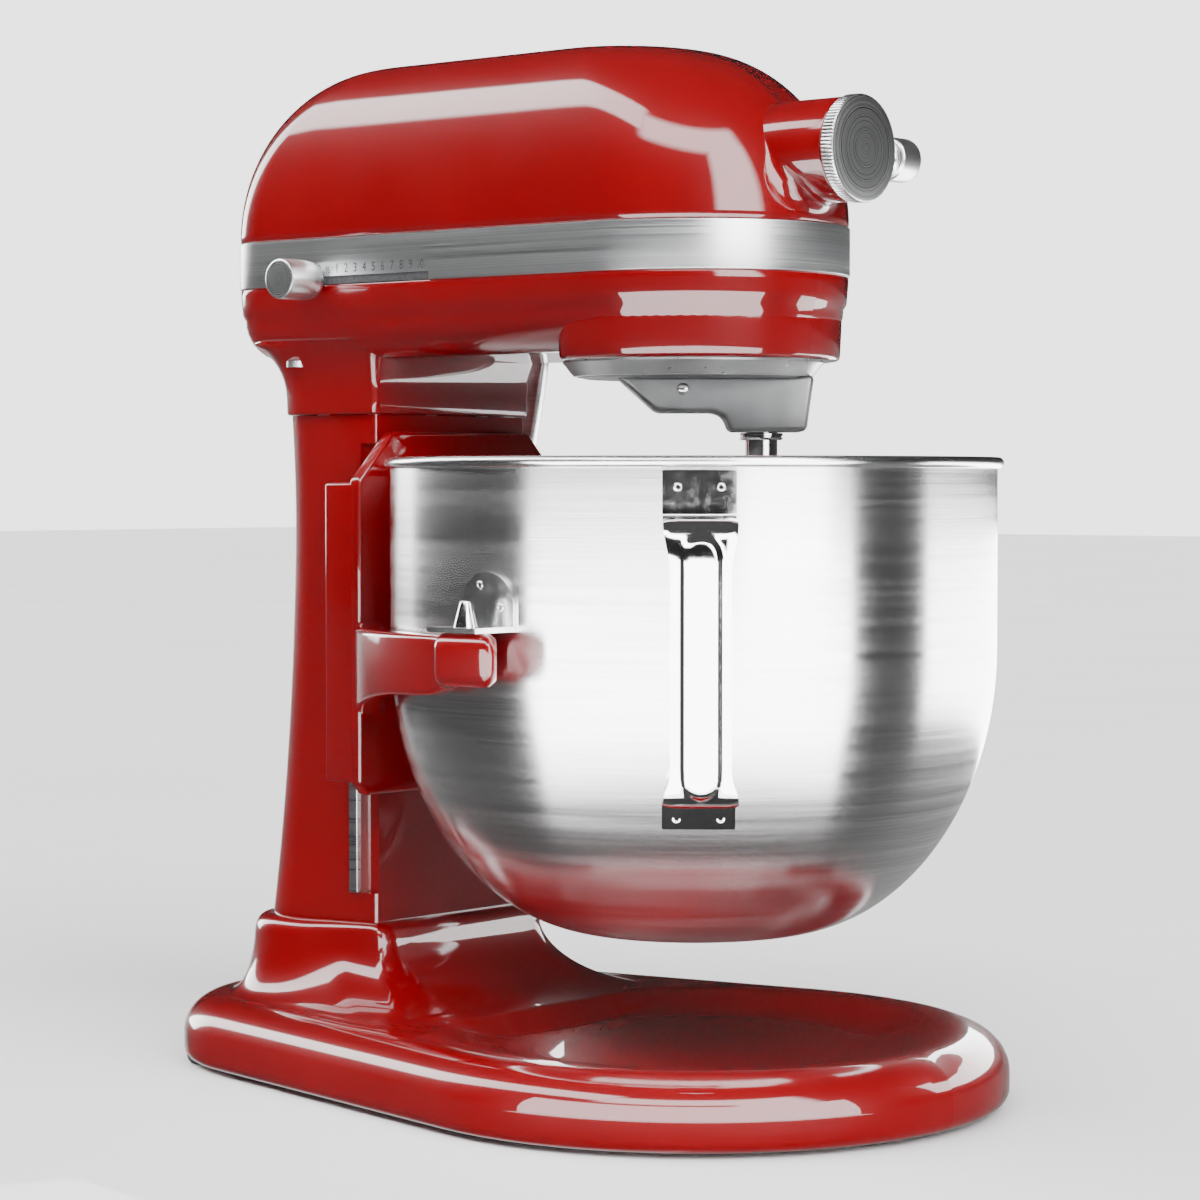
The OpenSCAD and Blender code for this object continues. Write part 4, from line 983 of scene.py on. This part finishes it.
def extruded(points, low, high):
    """A bmesh of a closed outline in X and Z, run from low to high along Y."""
    edit = bmesh.new()
    front = [edit.verts.new((x, low, z)) for x, z in points]
    back = [edit.verts.new((x, high, z)) for x, z in points]
    edit.faces.new(front)
    edit.faces.new(back[::-1])
    for i in range(len(points)):
        j = (i + 1) % len(points)
        edit.faces.new((front[i], back[i], back[j], front[j]))
    bmesh.ops.recalc_face_normals(edit, faces=edit.faces)
    return edit


arm_turn = math.radians(-49.5)
arm_r = 27
arm_half = 17
disc_low = 287
arm_low = 273.6
box_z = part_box("planetary_housing")[0].z * to_mm
arm_shape = [(-arm_r - 4, disc_low + 1), (-arm_r + 12, arm_low), (arm_r - 19, arm_low),
             (arm_r - 15.2, arm_low - 1.8),
             (arm_r - 13, box_z), (arm_r + 17, box_z), (arm_r + 20, disc_low + 1)]
in_arm = Matrix.Translation(AXIS) @ Matrix.Rotation(arm_turn, 4, "Z")
housing_metal = cast_grey("housing_grey", (0.17, 0.172, 0.176), (0.235, 0.238, 0.242), 0.38)
arm_mesh = softened("arm", extruded([(x * MM, z * MM) for x, z in arm_shape], -arm_half * MM, arm_half * MM),
                    0.0028, 4)
arm_mesh.transform(in_arm)
disc_mesh = stand_on(lathe("disc", [(0, disc_low), (disc_r - 1.8, disc_low), (disc_r - 0.5, disc_low + 0.5),
                                    (disc_r, disc_low + 1.6), (disc_r, disc_low + 8), (0, disc_low + 8)],
                           128), AXIS.copy())
housing = link_piece("planetary_arm", joined("planetary_arm", [arm_mesh, disc_mesh]), housing_metal, 32)
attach(housing, "planetary")
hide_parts("planetary_housing")

# ---------------------------------------------------------------- cotter pin end
# The bright rounded end of the steel pin that holds the arm on the centre
# shaft, which shows on the arm's side.

pin_at = in_arm @ Vector((-4.4 * MM, -(arm_half - 0.4) * MM, (arm_low + 9) * MM))
pin_out = (in_arm.to_3x3() @ Vector((0, -1, 0))).normalized()


def bright_steel(name="bright_steel", rough=0.12, shade=0.72):
    """Ground and polished steel."""
    mat, tree, shader = node_material(name, (shade,) * 3, 1.0, rough)
    tint(tree, shader, grain(tree, 120), (shade * 0.94,) * 3, (shade, shade, shade * 1.005))
    spread_over(tree, shader, "Roughness", grain(tree, 300), rough - 0.03, rough + 0.05)
    return mat


bright = bright_steel()
pin_head = link_piece("cotter_pin_end", stand_on(lathe("cotter_pin_end", [(0, -2), (2.6, -2), (2.6, 0.3),
                                                                          (2.2, 0.9), (1.2, 1.25),
                                                                         (0, 1.35)], 40), pin_at, pin_out),
                      bright)
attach(pin_head, "planetary")

# ---------------------------------------------------------------- agitator shaft
# The ground steel shaft that beaters slide onto, with a shallow relief near
# its end where their bayonet slot locks.

shaft_box_low, shaft_box_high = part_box("agitator_shaft")
shaft_r = (shaft_box_high.x - shaft_box_low.x) / 2 * to_mm
shaft_at = Vector(((shaft_box_low.x + shaft_box_high.x) / 2, (shaft_box_low.y + shaft_box_high.y) / 2, 0))
shaft_low, shaft_high = shaft_box_low.z * to_mm, shaft_box_high.z * to_mm
relief = 0.4
shaft_profile = [(0, shaft_low), (shaft_r - 1.0, shaft_low), (shaft_r - 0.3, shaft_low + 0.4),
                 (shaft_r, shaft_low + 1.2),
                 (shaft_r, shaft_low + 9.8), (shaft_r - relief, shaft_low + 10.2), (shaft_r - relief,
                                                                                    shaft_low + 15.8),
                 (shaft_r, shaft_low + 16.2), (shaft_r, shaft_high - 0.4), (shaft_r - 0.5, shaft_high),
                 (0, shaft_high)]
shaft = link_piece("agitator_shaft_ground", stand_on(lathe("agitator_shaft_ground", shaft_profile, 72),
                                                     shaft_at), bright, 30)
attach(shaft, "agitator")
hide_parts("agitator_shaft")

# ---------------------------------------------------------------- thrust ring
# A turned steel ring with a groove round it, pressed on the shaft under the
# box to take a beater's thrust.

ring_lo, ring_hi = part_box("shaft_ring")
ring_w = (ring_hi.x - ring_lo.x) / 2 * to_mm
z0, z1 = ring_lo.z * to_mm, ring_hi.z * to_mm
thrust = link_piece("thrust_ring", stand_on(lathe("thrust_ring", [
    (shaft_r, z0), (ring_w - 0.7, z0), (ring_w - 0.1, z0 + 0.35), (ring_w, z0 + 0.8),
    (ring_w - 0.5, z0 + 1.15),
    (ring_w - 0.5, z0 + 1.5), (ring_w, z0 + 1.85), (ring_w, z1 - 0.3), (ring_w - 0.3, z1), (shaft_r, z1),
    (shaft_r, z0)], 72),
    shaft_at), bright, 30)
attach(thrust, "agitator")
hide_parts("shaft_ring")

# ---------------------------------------------------------------- carriage
# The plate that slides up and down the column's front with the bowl. It is an
# enamelled casting with cut corners and a flange down each side.

plate_low, plate_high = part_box("lift_carriage")
plate_t = 6
plate_cut = 20
cw = plate_high.x * to_mm
cz0, cz1 = plate_low.z * to_mm, plate_high.z * to_mm
plate_front = (plate_low.y - AXIS.y) * to_mm
flange_back = (plate_high.y - AXIS.y) * to_mm
low_cut = 5
plate_shape = [(-cw + low_cut, cz0), (cw - low_cut, cz0), (cw, cz0 + low_cut), (cw, cz1 - plate_cut),
               (cw - plate_cut, cz1),
               (-cw + plate_cut, cz1), (-cw, cz1 - plate_cut), (-cw, cz0 + low_cut)]
plate_edit = extruded([(x * MM + AXIS.x, z * MM) for x, z in plate_shape], plate_front * MM + AXIS.y,
                      (plate_front + plate_t) * MM + AXIS.y)
plate_round = 0.0016
flange_in = 50.4
carriage_meshes = [softened("plate", plate_edit, plate_round, 3)]
carriage_meshes += [side_block("flange", side, (flange_in, cw), (plate_front + plate_t - 3, flange_back),
                               (cz0 + low_cut, cz1 - plate_cut - 1), plate_round) for side in (-1, 1)]
carriage = link_piece("carriage_plate", joined("carriage_plate", carriage_meshes), enamel, 35)
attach(carriage, "carriage")
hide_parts("lift_carriage")

# ---------------------------------------------------------------- yoke
# Two arms that reach forward from the carriage round the bowl. Each is deep
# at its root and ends in a thick pad under the bowl's ear.


def rounded_bar(r_in, r_out, z_in, z_out, soft, steps=4):
    """Corner-rounded rectangle points in (radius, height)."""
    soft = min(soft, (r_out - r_in) / 2 - 0.05, (z_out - z_in) / 2 - 0.05)
    points = []
    for cx, cz, first in ((r_out - soft, z_in + soft, -90), (r_out - soft, z_out - soft, 0),
                          (r_in + soft, z_out - soft, 90),
                          (r_in + soft, z_in + soft, 180)):
        for k in range(steps + 1):
            a = math.radians(first + 90 * k / steps)
            points.append((cx + soft * math.cos(a), cz + soft * math.sin(a)))
    return points


pad_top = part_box("bowl_yoke")[1].z * to_mm
yoke_in = 123
pad_out = 142
arm_out = 134
pad_h = 20
arm_h = 23
root_h = 37


def ease(t):
    """A smooth step from 0 to 1."""
    t = max(0.0, min(1.0, t))
    return t * t * (3 - 2 * t)


def yoke_arm(side):
    """One arm, from its pad's nose round the bowl to the carriage, as rings at stations in degrees."""
    rings = []
    stations = [(-9 + 2.2 * k / 5, 3.6 * (1 - math.sin(math.pi / 2 * k / 5))) for k in range(6)]
    stations += [(a, 0) for a in (-5, -2, 0, 1.6, 2.6, 3.2, 3.8, 4.4, 5.0, 5.8, 8, 12, 16, 21, 25, 29, 33, 37,
                                  41, 45, 49, 52, 55)]
    for angle, draw in stations:
        step = ease((angle - 2.8) / 2.8)
        r_out = pad_out + (arm_out - pad_out) * step - draw
        r_in = yoke_in + 0.8 * step
        top = pad_top - 1.6 * step - draw * 0.5
        bottom_pad = pad_top - pad_h
        drop = (pad_top - 1.6 - arm_h) - (root_h - arm_h) * ease((angle - 12) / 48) ** 1.3
        low = bottom_pad + (drop - bottom_pad) * ease((angle - 3) / 7) + draw * 0.7
        # the nose is cut back on the bowl's side
        back = 6 * (1 - ease((angle + 9) / 11))
        ring = []
        for r, z in rounded_bar(r_in, r_out, low, top, 5.5 - 3.3 * step):
            a = math.radians(angle + back * (pad_out - r) / (pad_out - yoke_in))
            ring.append(from_axis(side * r * math.cos(a), r * math.sin(a), z))
        rings.append(ring)
    last = stations[-1][0]
    a = math.radians(last)
    ends = ((yoke_in + 0.8) * math.cos(a), (yoke_in + 0.8) * math.sin(a), arm_out * math.cos(a),
            arm_out * math.sin(a))
    goal = (50.5, plate_front + 2.5, 61.6, plate_front + 2.5)
    root_steps = 4
    for k in range(1, root_steps + 1):
        t = k / root_steps
        xi, yi, xo, yo = (s + (g - s) * t for s, g in zip(ends, goal))
        low = pad_top - 1.6 - arm_h - (root_h - arm_h) * ease((last + (62 - last) * t - 12) / 48) ** 1.3
        ring = []
        for u, z in rounded_bar(0, 11, low, pad_top - 1.6, 2.2):
            ring.append(from_axis(side * (xi + (xo - xi) * u / 11), yi + (yo - yi) * u / 11, z))
        rings.append(ring)
    return skin("arm", rings)


yoke = link_piece("bowl_yoke_arms", joined("bowl_yoke_arms", [yoke_arm(1), yoke_arm(-1)]), enamel, 40)
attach(yoke, "carriage")
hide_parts("bowl_yoke")

# ---------------------------------------------------------------- locating pins
# Turned steel cones screwed into the pads. The bowl's ears drop over them.

pin_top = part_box("bowl_pins")[1].z * to_mm
pin_r = 133
pins = []
for side in (-1, 1):
    profile = [(0, pad_top - 8), (3, pad_top - 8), (3, pad_top - 0.2), (4.4, pad_top), (4.8, pad_top + 0.4),
               (4.75, pad_top + 0.9),
               (2.3, pin_top - 0.9), (2.0, pin_top - 0.3), (1.4, pin_top), (0, pin_top)]
    pins.append(stand_on(lathe("pin", profile, 48), from_axis(side * pin_r, 0, 0)))
pin_piece = link_piece("cone_pins", joined("cone_pins", pins), bright, 35)
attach(pin_piece, "carriage")
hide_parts("bowl_pins")

# ---------------------------------------------------------------- lift lever
# A flat polished lever on the free side. It turns the pivot shaft, which
# cranks the carriage up and down.

lever_low, lever_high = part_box("lift_lever")
shaft_lo, shaft_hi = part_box("lift_shaft")
pivot = Vector((lever_low.x, (shaft_lo.y + shaft_hi.y) / 2, 0.220))
lever_t = (lever_high.x - lever_low.x) * to_mm
lever_len = 88
lean = math.radians(10)


def lever_blade():
    """Rings up the blade: narrow above the boss, then widening to a round tip."""
    rings = []
    for k in range(25):
        u = k / 24
        z = -1 + (lever_len + 0.5) * u
        half = 5.6 + 1.4 * ease((u - 0.25) / 0.6)
        from_tip = lever_len - 0.5 - z
        if from_tip < 7:
            half = max(0.6, math.sqrt(max(0.0, 49 - (7 - from_tip) ** 2)))
        soft = min(1.7, half - 0.1)
        ring = rounded_bar(0, lever_t, -half, half, soft, 3)
        rings.append([Vector((x * MM, y * MM, z * MM)) for x, y in ring])
    return skin("blade", rings)


boss = stand_on(lathe("boss", [(0, 0), (10, 0), (11, 0.6), (11, lever_t - 1.0), (10.3, lever_t - 0.2),
                               (9.4, lever_t), (0, lever_t)], 64),
                Vector((0, 0, 0)), Vector((1, 0, 0)))
lever_mesh = joined("lift_lever_blade", [lever_blade(), boss])
lever_mesh.transform(Matrix.Translation(pivot) @ Matrix.Rotation(lean, 4, "X"))
lever = link_piece("lift_lever_blade", lever_mesh, trim_metal, 35)
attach(lever, "lever")
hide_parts("lift_lever")

# ---------------------------------------------------------------- bowl
# Deep-drawn stainless steel, brushed round its axis, with a flat foot and a
# rolled rim.

bowl_r = 120
bowl_bottom = bowl_low.z * to_mm
bowl_top = bowl_high.z * to_mm
bowl_h = bowl_top - bowl_bottom
bowl_flat = 36
bend_h = bowl_h * 0.6
sheet = 1.2
rim_r = 2.25


def bowl_wall(z):
    """Outside radius of the bowl at a height in mm."""
    h = min(1.0, (z - bowl_bottom) / bend_h)
    return bowl_flat + (bowl_r - bowl_flat) * math.sqrt(max(0.0, 1 - (1 - h) ** 2))


def bowl_profile():
    """The sheet's outline: out along the foot, up outside, round the rolled rim and down inside."""
    arc = [math.pi / 2 * k / 44 for k in range(45)]
    outside = [(bowl_flat + (bowl_r - bowl_flat) * math.sin(a), bowl_bottom + bend_h * (1 - math.cos(a)))
               for a in arc]
    inside = [((bowl_r - sheet) / bowl_r * r, (z - bowl_bottom) * (1 - sheet / bend_h) + bowl_bottom + sheet)
              for r, z in outside]
    wall_top = bowl_top - 2 * rim_r
    rim = []
    for k in range(17):
        a = math.radians(-160 + 340 * k / 16)
        rim.append((bowl_r + 0.25 + rim_r * math.cos(a), bowl_top - rim_r + rim_r * math.sin(a)))
    straight = [bowl_bottom + bend_h + (wall_top - bowl_bottom - bend_h) * k / 8 for k in range(1, 9)]
    points = [(0, bowl_bottom + 0.8), (18, bowl_bottom + 0.8), (bowl_flat - 5, bowl_bottom + 0.7),
              (bowl_flat - 3, bowl_bottom)]
    points += outside
    points += [(bowl_r, z) for z in straight]
    points += rim[1:-1]
    points += [(bowl_r - sheet, z) for z in reversed(straight)]
    points += inside[::-1]
    points += [(0, bowl_bottom + sheet + 0.8)]
    return points


def brushed_steel():
    """Stainless sheet with long fine brush marks round the bowl."""
    mat, tree, shader = node_material("bowl_brushed_steel", (0.72, 0.72, 0.72), 1.0, 0.2, Anisotropic=0.75)
    shader.inputs["Anisotropic Rotation"].default_value = 0.25
    fine = grain(tree, 1.0, 2.5, 0.65, (14, 14, 1500))
    broad = grain(tree, 1.0, 1.0, 0.5, (5, 5, 300))
    tint(tree, shader, fine, (0.66, 0.66, 0.665), (0.80, 0.80, 0.80))
    spread_over(tree, shader, "Roughness", broad, 0.19, 0.27)
    raise_by(tree, shader, fine, 0.00002)
    round_it = tree.nodes.new("ShaderNodeTangent")
    round_it.direction_type = "RADIAL"
    round_it.axis = "Z"
    tree.links.new(round_it.outputs["Tangent"], shader.inputs["Tangent"])
    return mat


bowl_steel = brushed_steel()
bowl_piece = link_piece("drawn_bowl", stand_on(lathe("drawn_bowl", bowl_profile(), 224), AXIS.copy()),
                        bowl_steel, 45)
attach(bowl_piece, "bowl")
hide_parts("bowl")

# ---------------------------------------------------------------- bowl handle
# A polished steel strap, pressed with a long raised panel down its middle and
# bent back at both ends to plates that are spot-welded to the bowl.

polished = bright_steel("polished_strap_steel", 0.07, 0.80)
handle_turn = math.radians(50)
handle_out = Vector((-math.sin(handle_turn), -math.cos(handle_turn), 0))
handle_side = Vector((math.cos(handle_turn), -math.sin(handle_turn), 0))
handle_top = bowl_top - 20
handle_drop = 106
handle_low = handle_top - handle_drop
strap_t = 2.2
plate_half = 13.5
grip_half = 11
grip_r = bowl_r + 31


def strap_path():
    """Points (radius, height) of the strap's outer face, from the top plate to the lower one."""
    points = [(bowl_r + 1.7, handle_top + 14.5 - 2.4 * k) for k in range(7)]
    points += [bezier(((bowl_r + 1.7, handle_top - 0.2), (bowl_r + 1.7, handle_top - 2.6),
                       (bowl_r + 3.2, handle_top - 3.0),
                       (bowl_r + 6, handle_top - 2.8)), k / 6) for k in range(1, 7)]
    points += [(bowl_r + 6 + (grip_r - 13 - bowl_r - 6) * k / 5, handle_top - 2.8 + 0.6 * k / 5)
               for k in range(1, 6)]
    points += [bezier(((grip_r - 13, handle_top - 2.2), (grip_r - 5, handle_top - 1.9),
                       (grip_r - 0.6, handle_top - 7),
                       (grip_r, handle_top - 16)), k / 14) for k in range(1, 15)]
    end = handle_low + 9
    points += [(grip_r - 0.9 * math.sin(math.pi * k / 30),
                handle_top - 16 + (end - handle_top + 16) * k / 30) for k in range(1, 31)]
    points += [bezier(((grip_r, end), (grip_r, end - 4), (grip_r - 1.2, handle_low + 2.2),
                       (grip_r - 4.6, handle_low + 0.4)), k / 8)
               for k in range(1, 9)]
    foot_r = bowl_wall(handle_low + 2) + 3
    points += [(grip_r - 4.6 + (foot_r - grip_r + 4.6) * k / 8, handle_low + 0.4 + 1.0 * k / 8)
               for k in range(1, 9)]
    lowest = handle_low - 11
    points += [(bowl_wall(handle_low - 0.5 + (lowest - handle_low + 0.5) * k / 7) + 1.9,
                handle_low - 0.5 + (lowest - handle_low + 0.5) * k / 7)
               for k in range(0, 8)]
    return points


def sheet_faces(rows, cols):
    """The faces of a closed sheet whose points are an outer grid and then an inner one."""
    count = cols + 1
    shift = (rows + 1) * count
    faces = []
    for i in range(rows):
        for k in range(cols):
            a, b = i * count + k, (i + 1) * count + k
            faces += [(a, a + 1, b + 1, b), (shift + b, shift + b + 1, shift + a + 1, shift + a)]
        for k in (0, cols):
            a, b = i * count + k, (i + 1) * count + k
            faces.append((a, b, shift + b, shift + a))
    for k in range(cols):
        a, b = k, rows * count + k
        faces += [(a, a + 1, shift + a + 1, shift + a), (b, b + 1, shift + b + 1, shift + b)]
    return faces


def strap_mesh():
    """The strap as an outer and an inner skin along its path, with the panel raised in the outer one."""
    path = strap_path()
    across = 28
    panel_half = 7.4
    panel_top, panel_low = handle_top - 9, handle_low + 4
    rows = []
    for i, (r, z) in enumerate(path):
        r0, z0 = path[max(i - 1, 0)]
        r1, z1 = path[min(i + 1, len(path) - 1)]
        length = math.hypot(r1 - r0, z1 - z0)
        out = ((z0 - z1) / length, (r1 - r0) / length)
        near_top = ease((z - (handle_top - 22)) / 19)
        near_low = ease((handle_low + 13 - z) / 11)
        half = grip_half + (plate_half - grip_half) * max(near_top, near_low)
        rows.append((r, z, out, half))
    outer, inner = [], []
    for r, z, (nr, nz), half in rows:
        on_grip = r > grip_r - 3 and nr > 0.7
        for k in range(across + 1):
            u = -1 + 2 * k / across
            side = half * u
            over = max(0.0, z - (panel_top - panel_half), (panel_low + panel_half) - z)
            rim = panel_half - math.hypot(side, over)
            lift = 2.6 * ease((rim + 0.6) / 2.6) if on_grip or rim > 0 else 0
            lift -= 0.9 * (abs(u) ** 6) * (1 if r > bowl_r + 8 else 0)
            # the plates follow the bowl's round wall
            sag = side * side / (2 * bowl_r) * max(0.0, min(1.0, (bowl_r + 10 - r) / 8))
            for store, depth in ((outer, lift), (inner, lift - strap_t if r > bowl_r + 4 else -1.3)):
                rr, zz = r + nr * depth - sag, z + nz * depth
                place = AXIS + handle_out * rr * MM + handle_side * side * MM
                place.z = zz * MM
                store.append(place)
    return solid_mesh("strap", outer + inner, sheet_faces(len(rows) - 1, across))


def weld_dimple(place, out):
    """The small raised ring that a spot weld leaves."""
    profile = [(0, -0.2), (0.7, -0.1), (1.0, 0.28), (1.35, 0.3), (1.7, 0.05), (1.8, -0.5), (0, -0.5)]
    return stand_on(lathe("weld", profile, 24), place, out)


welds = []
for z, r, share in ((handle_top + 8.5, bowl_r + 1.75, 0.58), (handle_low - 7,
                                                              bowl_wall(handle_low - 7) + 1.95, 0.6)):
    for side in (-1, 1):
        spot = AXIS + handle_out * (r - 0.5) * MM + handle_side * side * plate_half * share * MM
        spot.z = z * MM
        welds.append(weld_dimple(spot, handle_out))
handle = link_piece("strap_handle", joined("strap_handle", [strap_mesh()] + welds), polished, 50)
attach(handle, "bowl")
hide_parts("bowl_handle")

# ---------------------------------------------------------------- bowl ears
# Pressed steel angles welded to the bowl's sides: a round-topped plate on the
# wall and a flange with a hole for the cone pin.

ear_low, ear_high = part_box("bowl_ears")
ear_z = ear_low.z * to_mm
ear_out = ear_high.x * to_mm
ear_half = 12.5
ear_top = ear_high.z * to_mm
ear_t = 1.6


def ear_mesh(side):
    """A round-topped wall plate with a bent flange, made as a closed sheet."""
    parts = []
    rows, cols = 14, 16
    outer, inner = [], []
    for i in range(rows + 1):
        z = ear_z + (ear_top - ear_z) * math.sin(math.pi / 2 * i / rows)
        round_from = ear_top - ear_half
        half = ear_half
        if z > round_from:
            half = max(0.4, math.sqrt(max(0.0, ear_half ** 2 - (z - round_from) ** 2)))
        for k in range(cols + 1):
            s = half * (-1 + 2 * k / cols)
            a = s / bowl_r
            for store, r in ((outer, bowl_r + ear_t), (inner, bowl_r + 0.15)):
                store.append(from_axis(side * r * math.cos(a), r * math.sin(a), z))
    parts.append(solid_mesh("ear", outer + inner, sheet_faces(rows, cols)))
    # flange: a plate with a hole, as rings from the hole's edge out to the outline
    hole, steps = 5.3, 48
    x0, x1 = bowl_r + 0.4, ear_out
    outline = []
    for k in range(steps):
        a = 2 * math.pi * (k + 0.5) / steps
        dx, dy = math.cos(a), math.sin(a)
        cx = pin_r
        reach_x = (x1 - cx) / dx if dx > 1e-6 else (x0 - cx) / dx if dx < -1e-6 else 1e9
        reach_y = (ear_half - 0.5) / abs(dy) if abs(dy) > 1e-6 else 1e9
        t = min(reach_x, reach_y)
        outline.append((cx + dx * t, dy * t, cx + dx * hole, dy * hole))
    ring_points = []
    for z, edge in ((ear_z + 0.05, 0), (ear_z + 0.05, 1), (ear_z + 2.0, 1), (ear_z + 2.0, 0)):
        ring_points.append([from_axis(side * (o[0] if edge else o[2]), o[1] if edge else o[3], z)
                            for o in outline])
    parts.append(skin("flange", ring_points, closed=True))
    for y, z in ((-6.5, ear_z + 9), (3.5, ear_z + 17)):
        a = y / bowl_r
        out = Vector((side * math.cos(a), math.sin(a), 0))
        parts.append(weld_dimple(from_axis(side * (bowl_r + ear_t - 0.1) * math.cos(a),
                                           (bowl_r + ear_t - 0.1) * math.sin(a), z), out))
    return joined("ear", parts)


ears = link_piece("welded_ears", joined("welded_ears", [ear_mesh(-1), ear_mesh(1)]),
                  bright_steel("ear_steel", 0.2, 0.66), 35)
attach(ears, "bowl")
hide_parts("bowl_ears")

# ---------------------------------------------------------------- cable gland
# A ribbed rubber bush in the neck's back, where the mains lead would come
# out. It is moulded in the same rubber as the feet.

gland_low, gland_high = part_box("cable_gland")
gland_at = Vector((AXIS.x, gland_low.y, (gland_low.z + gland_high.z) / 2))
gland_len = (gland_high.y - gland_low.y) * to_mm
gland_profile = [(3.5, 0), (6, 0), (6, 15)]
for k in range(3):
    z = 16 + k * 2.6
    gland_profile += [(7.6 - k * 0.5, z), (7.6 - k * 0.5, z + 1.3), (6.3 - k * 0.5, z + 1.7), (6.3 - k * 0.5,
                                                                                               z + 2.4)]
gland_profile += [(4.8, gland_len), (3.5, gland_len), (3.5, 0)]
gland = link_piece("ribbed_gland", stand_on(lathe("ribbed_gland", gland_profile, 56), gland_at,
                                            Vector((0, 1, 0))),
                   bpy.data.materials["foot_rubber"], 35)
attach(gland, "root")
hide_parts("cable_gland")

# ---------------------------------------------------------------- works inside
# Gears, shafts, bearings, the motor and its board. They keep their turned and
# cut shapes, and each gets the finish of what it is made from.


def gear_metal(name, dark, light, rough):
    """Cut, cast or plated metal with a fine grain."""
    mat, tree, shader = node_material(name, light, 1.0, rough)
    tint(tree, shader, grain(tree, 80), dark, light)
    spread_over(tree, shader, "Roughness", grain(tree, 260), rough - 0.05, rough + 0.08)
    raise_by(tree, shader, grain(tree, 1200, 2), 0.00001)
    return mat


def plain_stuff(name, dark, light, rough, grain_scale=200):
    """Plastic or board with a fine moulded grain."""
    mat, tree, shader = node_material(name, light, 0.0, rough)
    tint(tree, shader, grain(tree, grain_scale), dark, light)
    spread_over(tree, shader, "Roughness", grain(tree, grain_scale * 2), rough - 0.05, rough + 0.07)
    raise_by(tree, shader, grain(tree, grain_scale * 5, 2), 0.00002)
    return mat


finishes = {
    "gear_steel": gear_metal("cut_gear_steel", (0.30, 0.30, 0.31), (0.46, 0.46, 0.47), 0.30),
    "gear_bronze": gear_metal("gear_bronze_cast", (0.42, 0.26, 0.10), (0.58, 0.38, 0.17), 0.32),
    "shaft_steel": bright_steel("shaft_ground_steel", 0.16, 0.60),
    "polished_steel": bright_steel("clip_steel", 0.16, 0.66),
    "cast_grey": cast_grey("frame_cast_grey", (0.32, 0.325, 0.33), (0.45, 0.455, 0.46), 0.34),
    "brushed_aluminium": trim_metal,
    "red_enamel": enamel,
    "bowl_steel": bowl_steel,
    "zinc_screws": gear_metal("zinc_plate", (0.44, 0.45, 0.46), (0.60, 0.61, 0.62), 0.34),
    "iron_core": gear_metal("laminated_iron", (0.10, 0.10, 0.11), (0.20, 0.20, 0.21), 0.45),
    "copper_wire": gear_metal("copper_windings", (0.50, 0.20, 0.08), (0.72, 0.33, 0.16), 0.38),
    "black_plastic": plain_stuff("moulded_black", (0.012, 0.012, 0.013), (0.028, 0.028, 0.03), 0.45),
    "rubber": bpy.data.materials["foot_rubber"],
    "board_green": plain_stuff("circuit_board", (0.01, 0.09, 0.035), (0.02, 0.16, 0.06), 0.4, 120),
}
slot_of = {part["node"]: part["material_slot"] for part in frame["record"]["subparts"]}
for node_name, node in frame["nodes"].items():
    finish = finishes[slot_of[node_name]]
    for place in node.material_slots:
        place.material = finish
    if not node.material_slots:
        node.data.materials.append(finish)
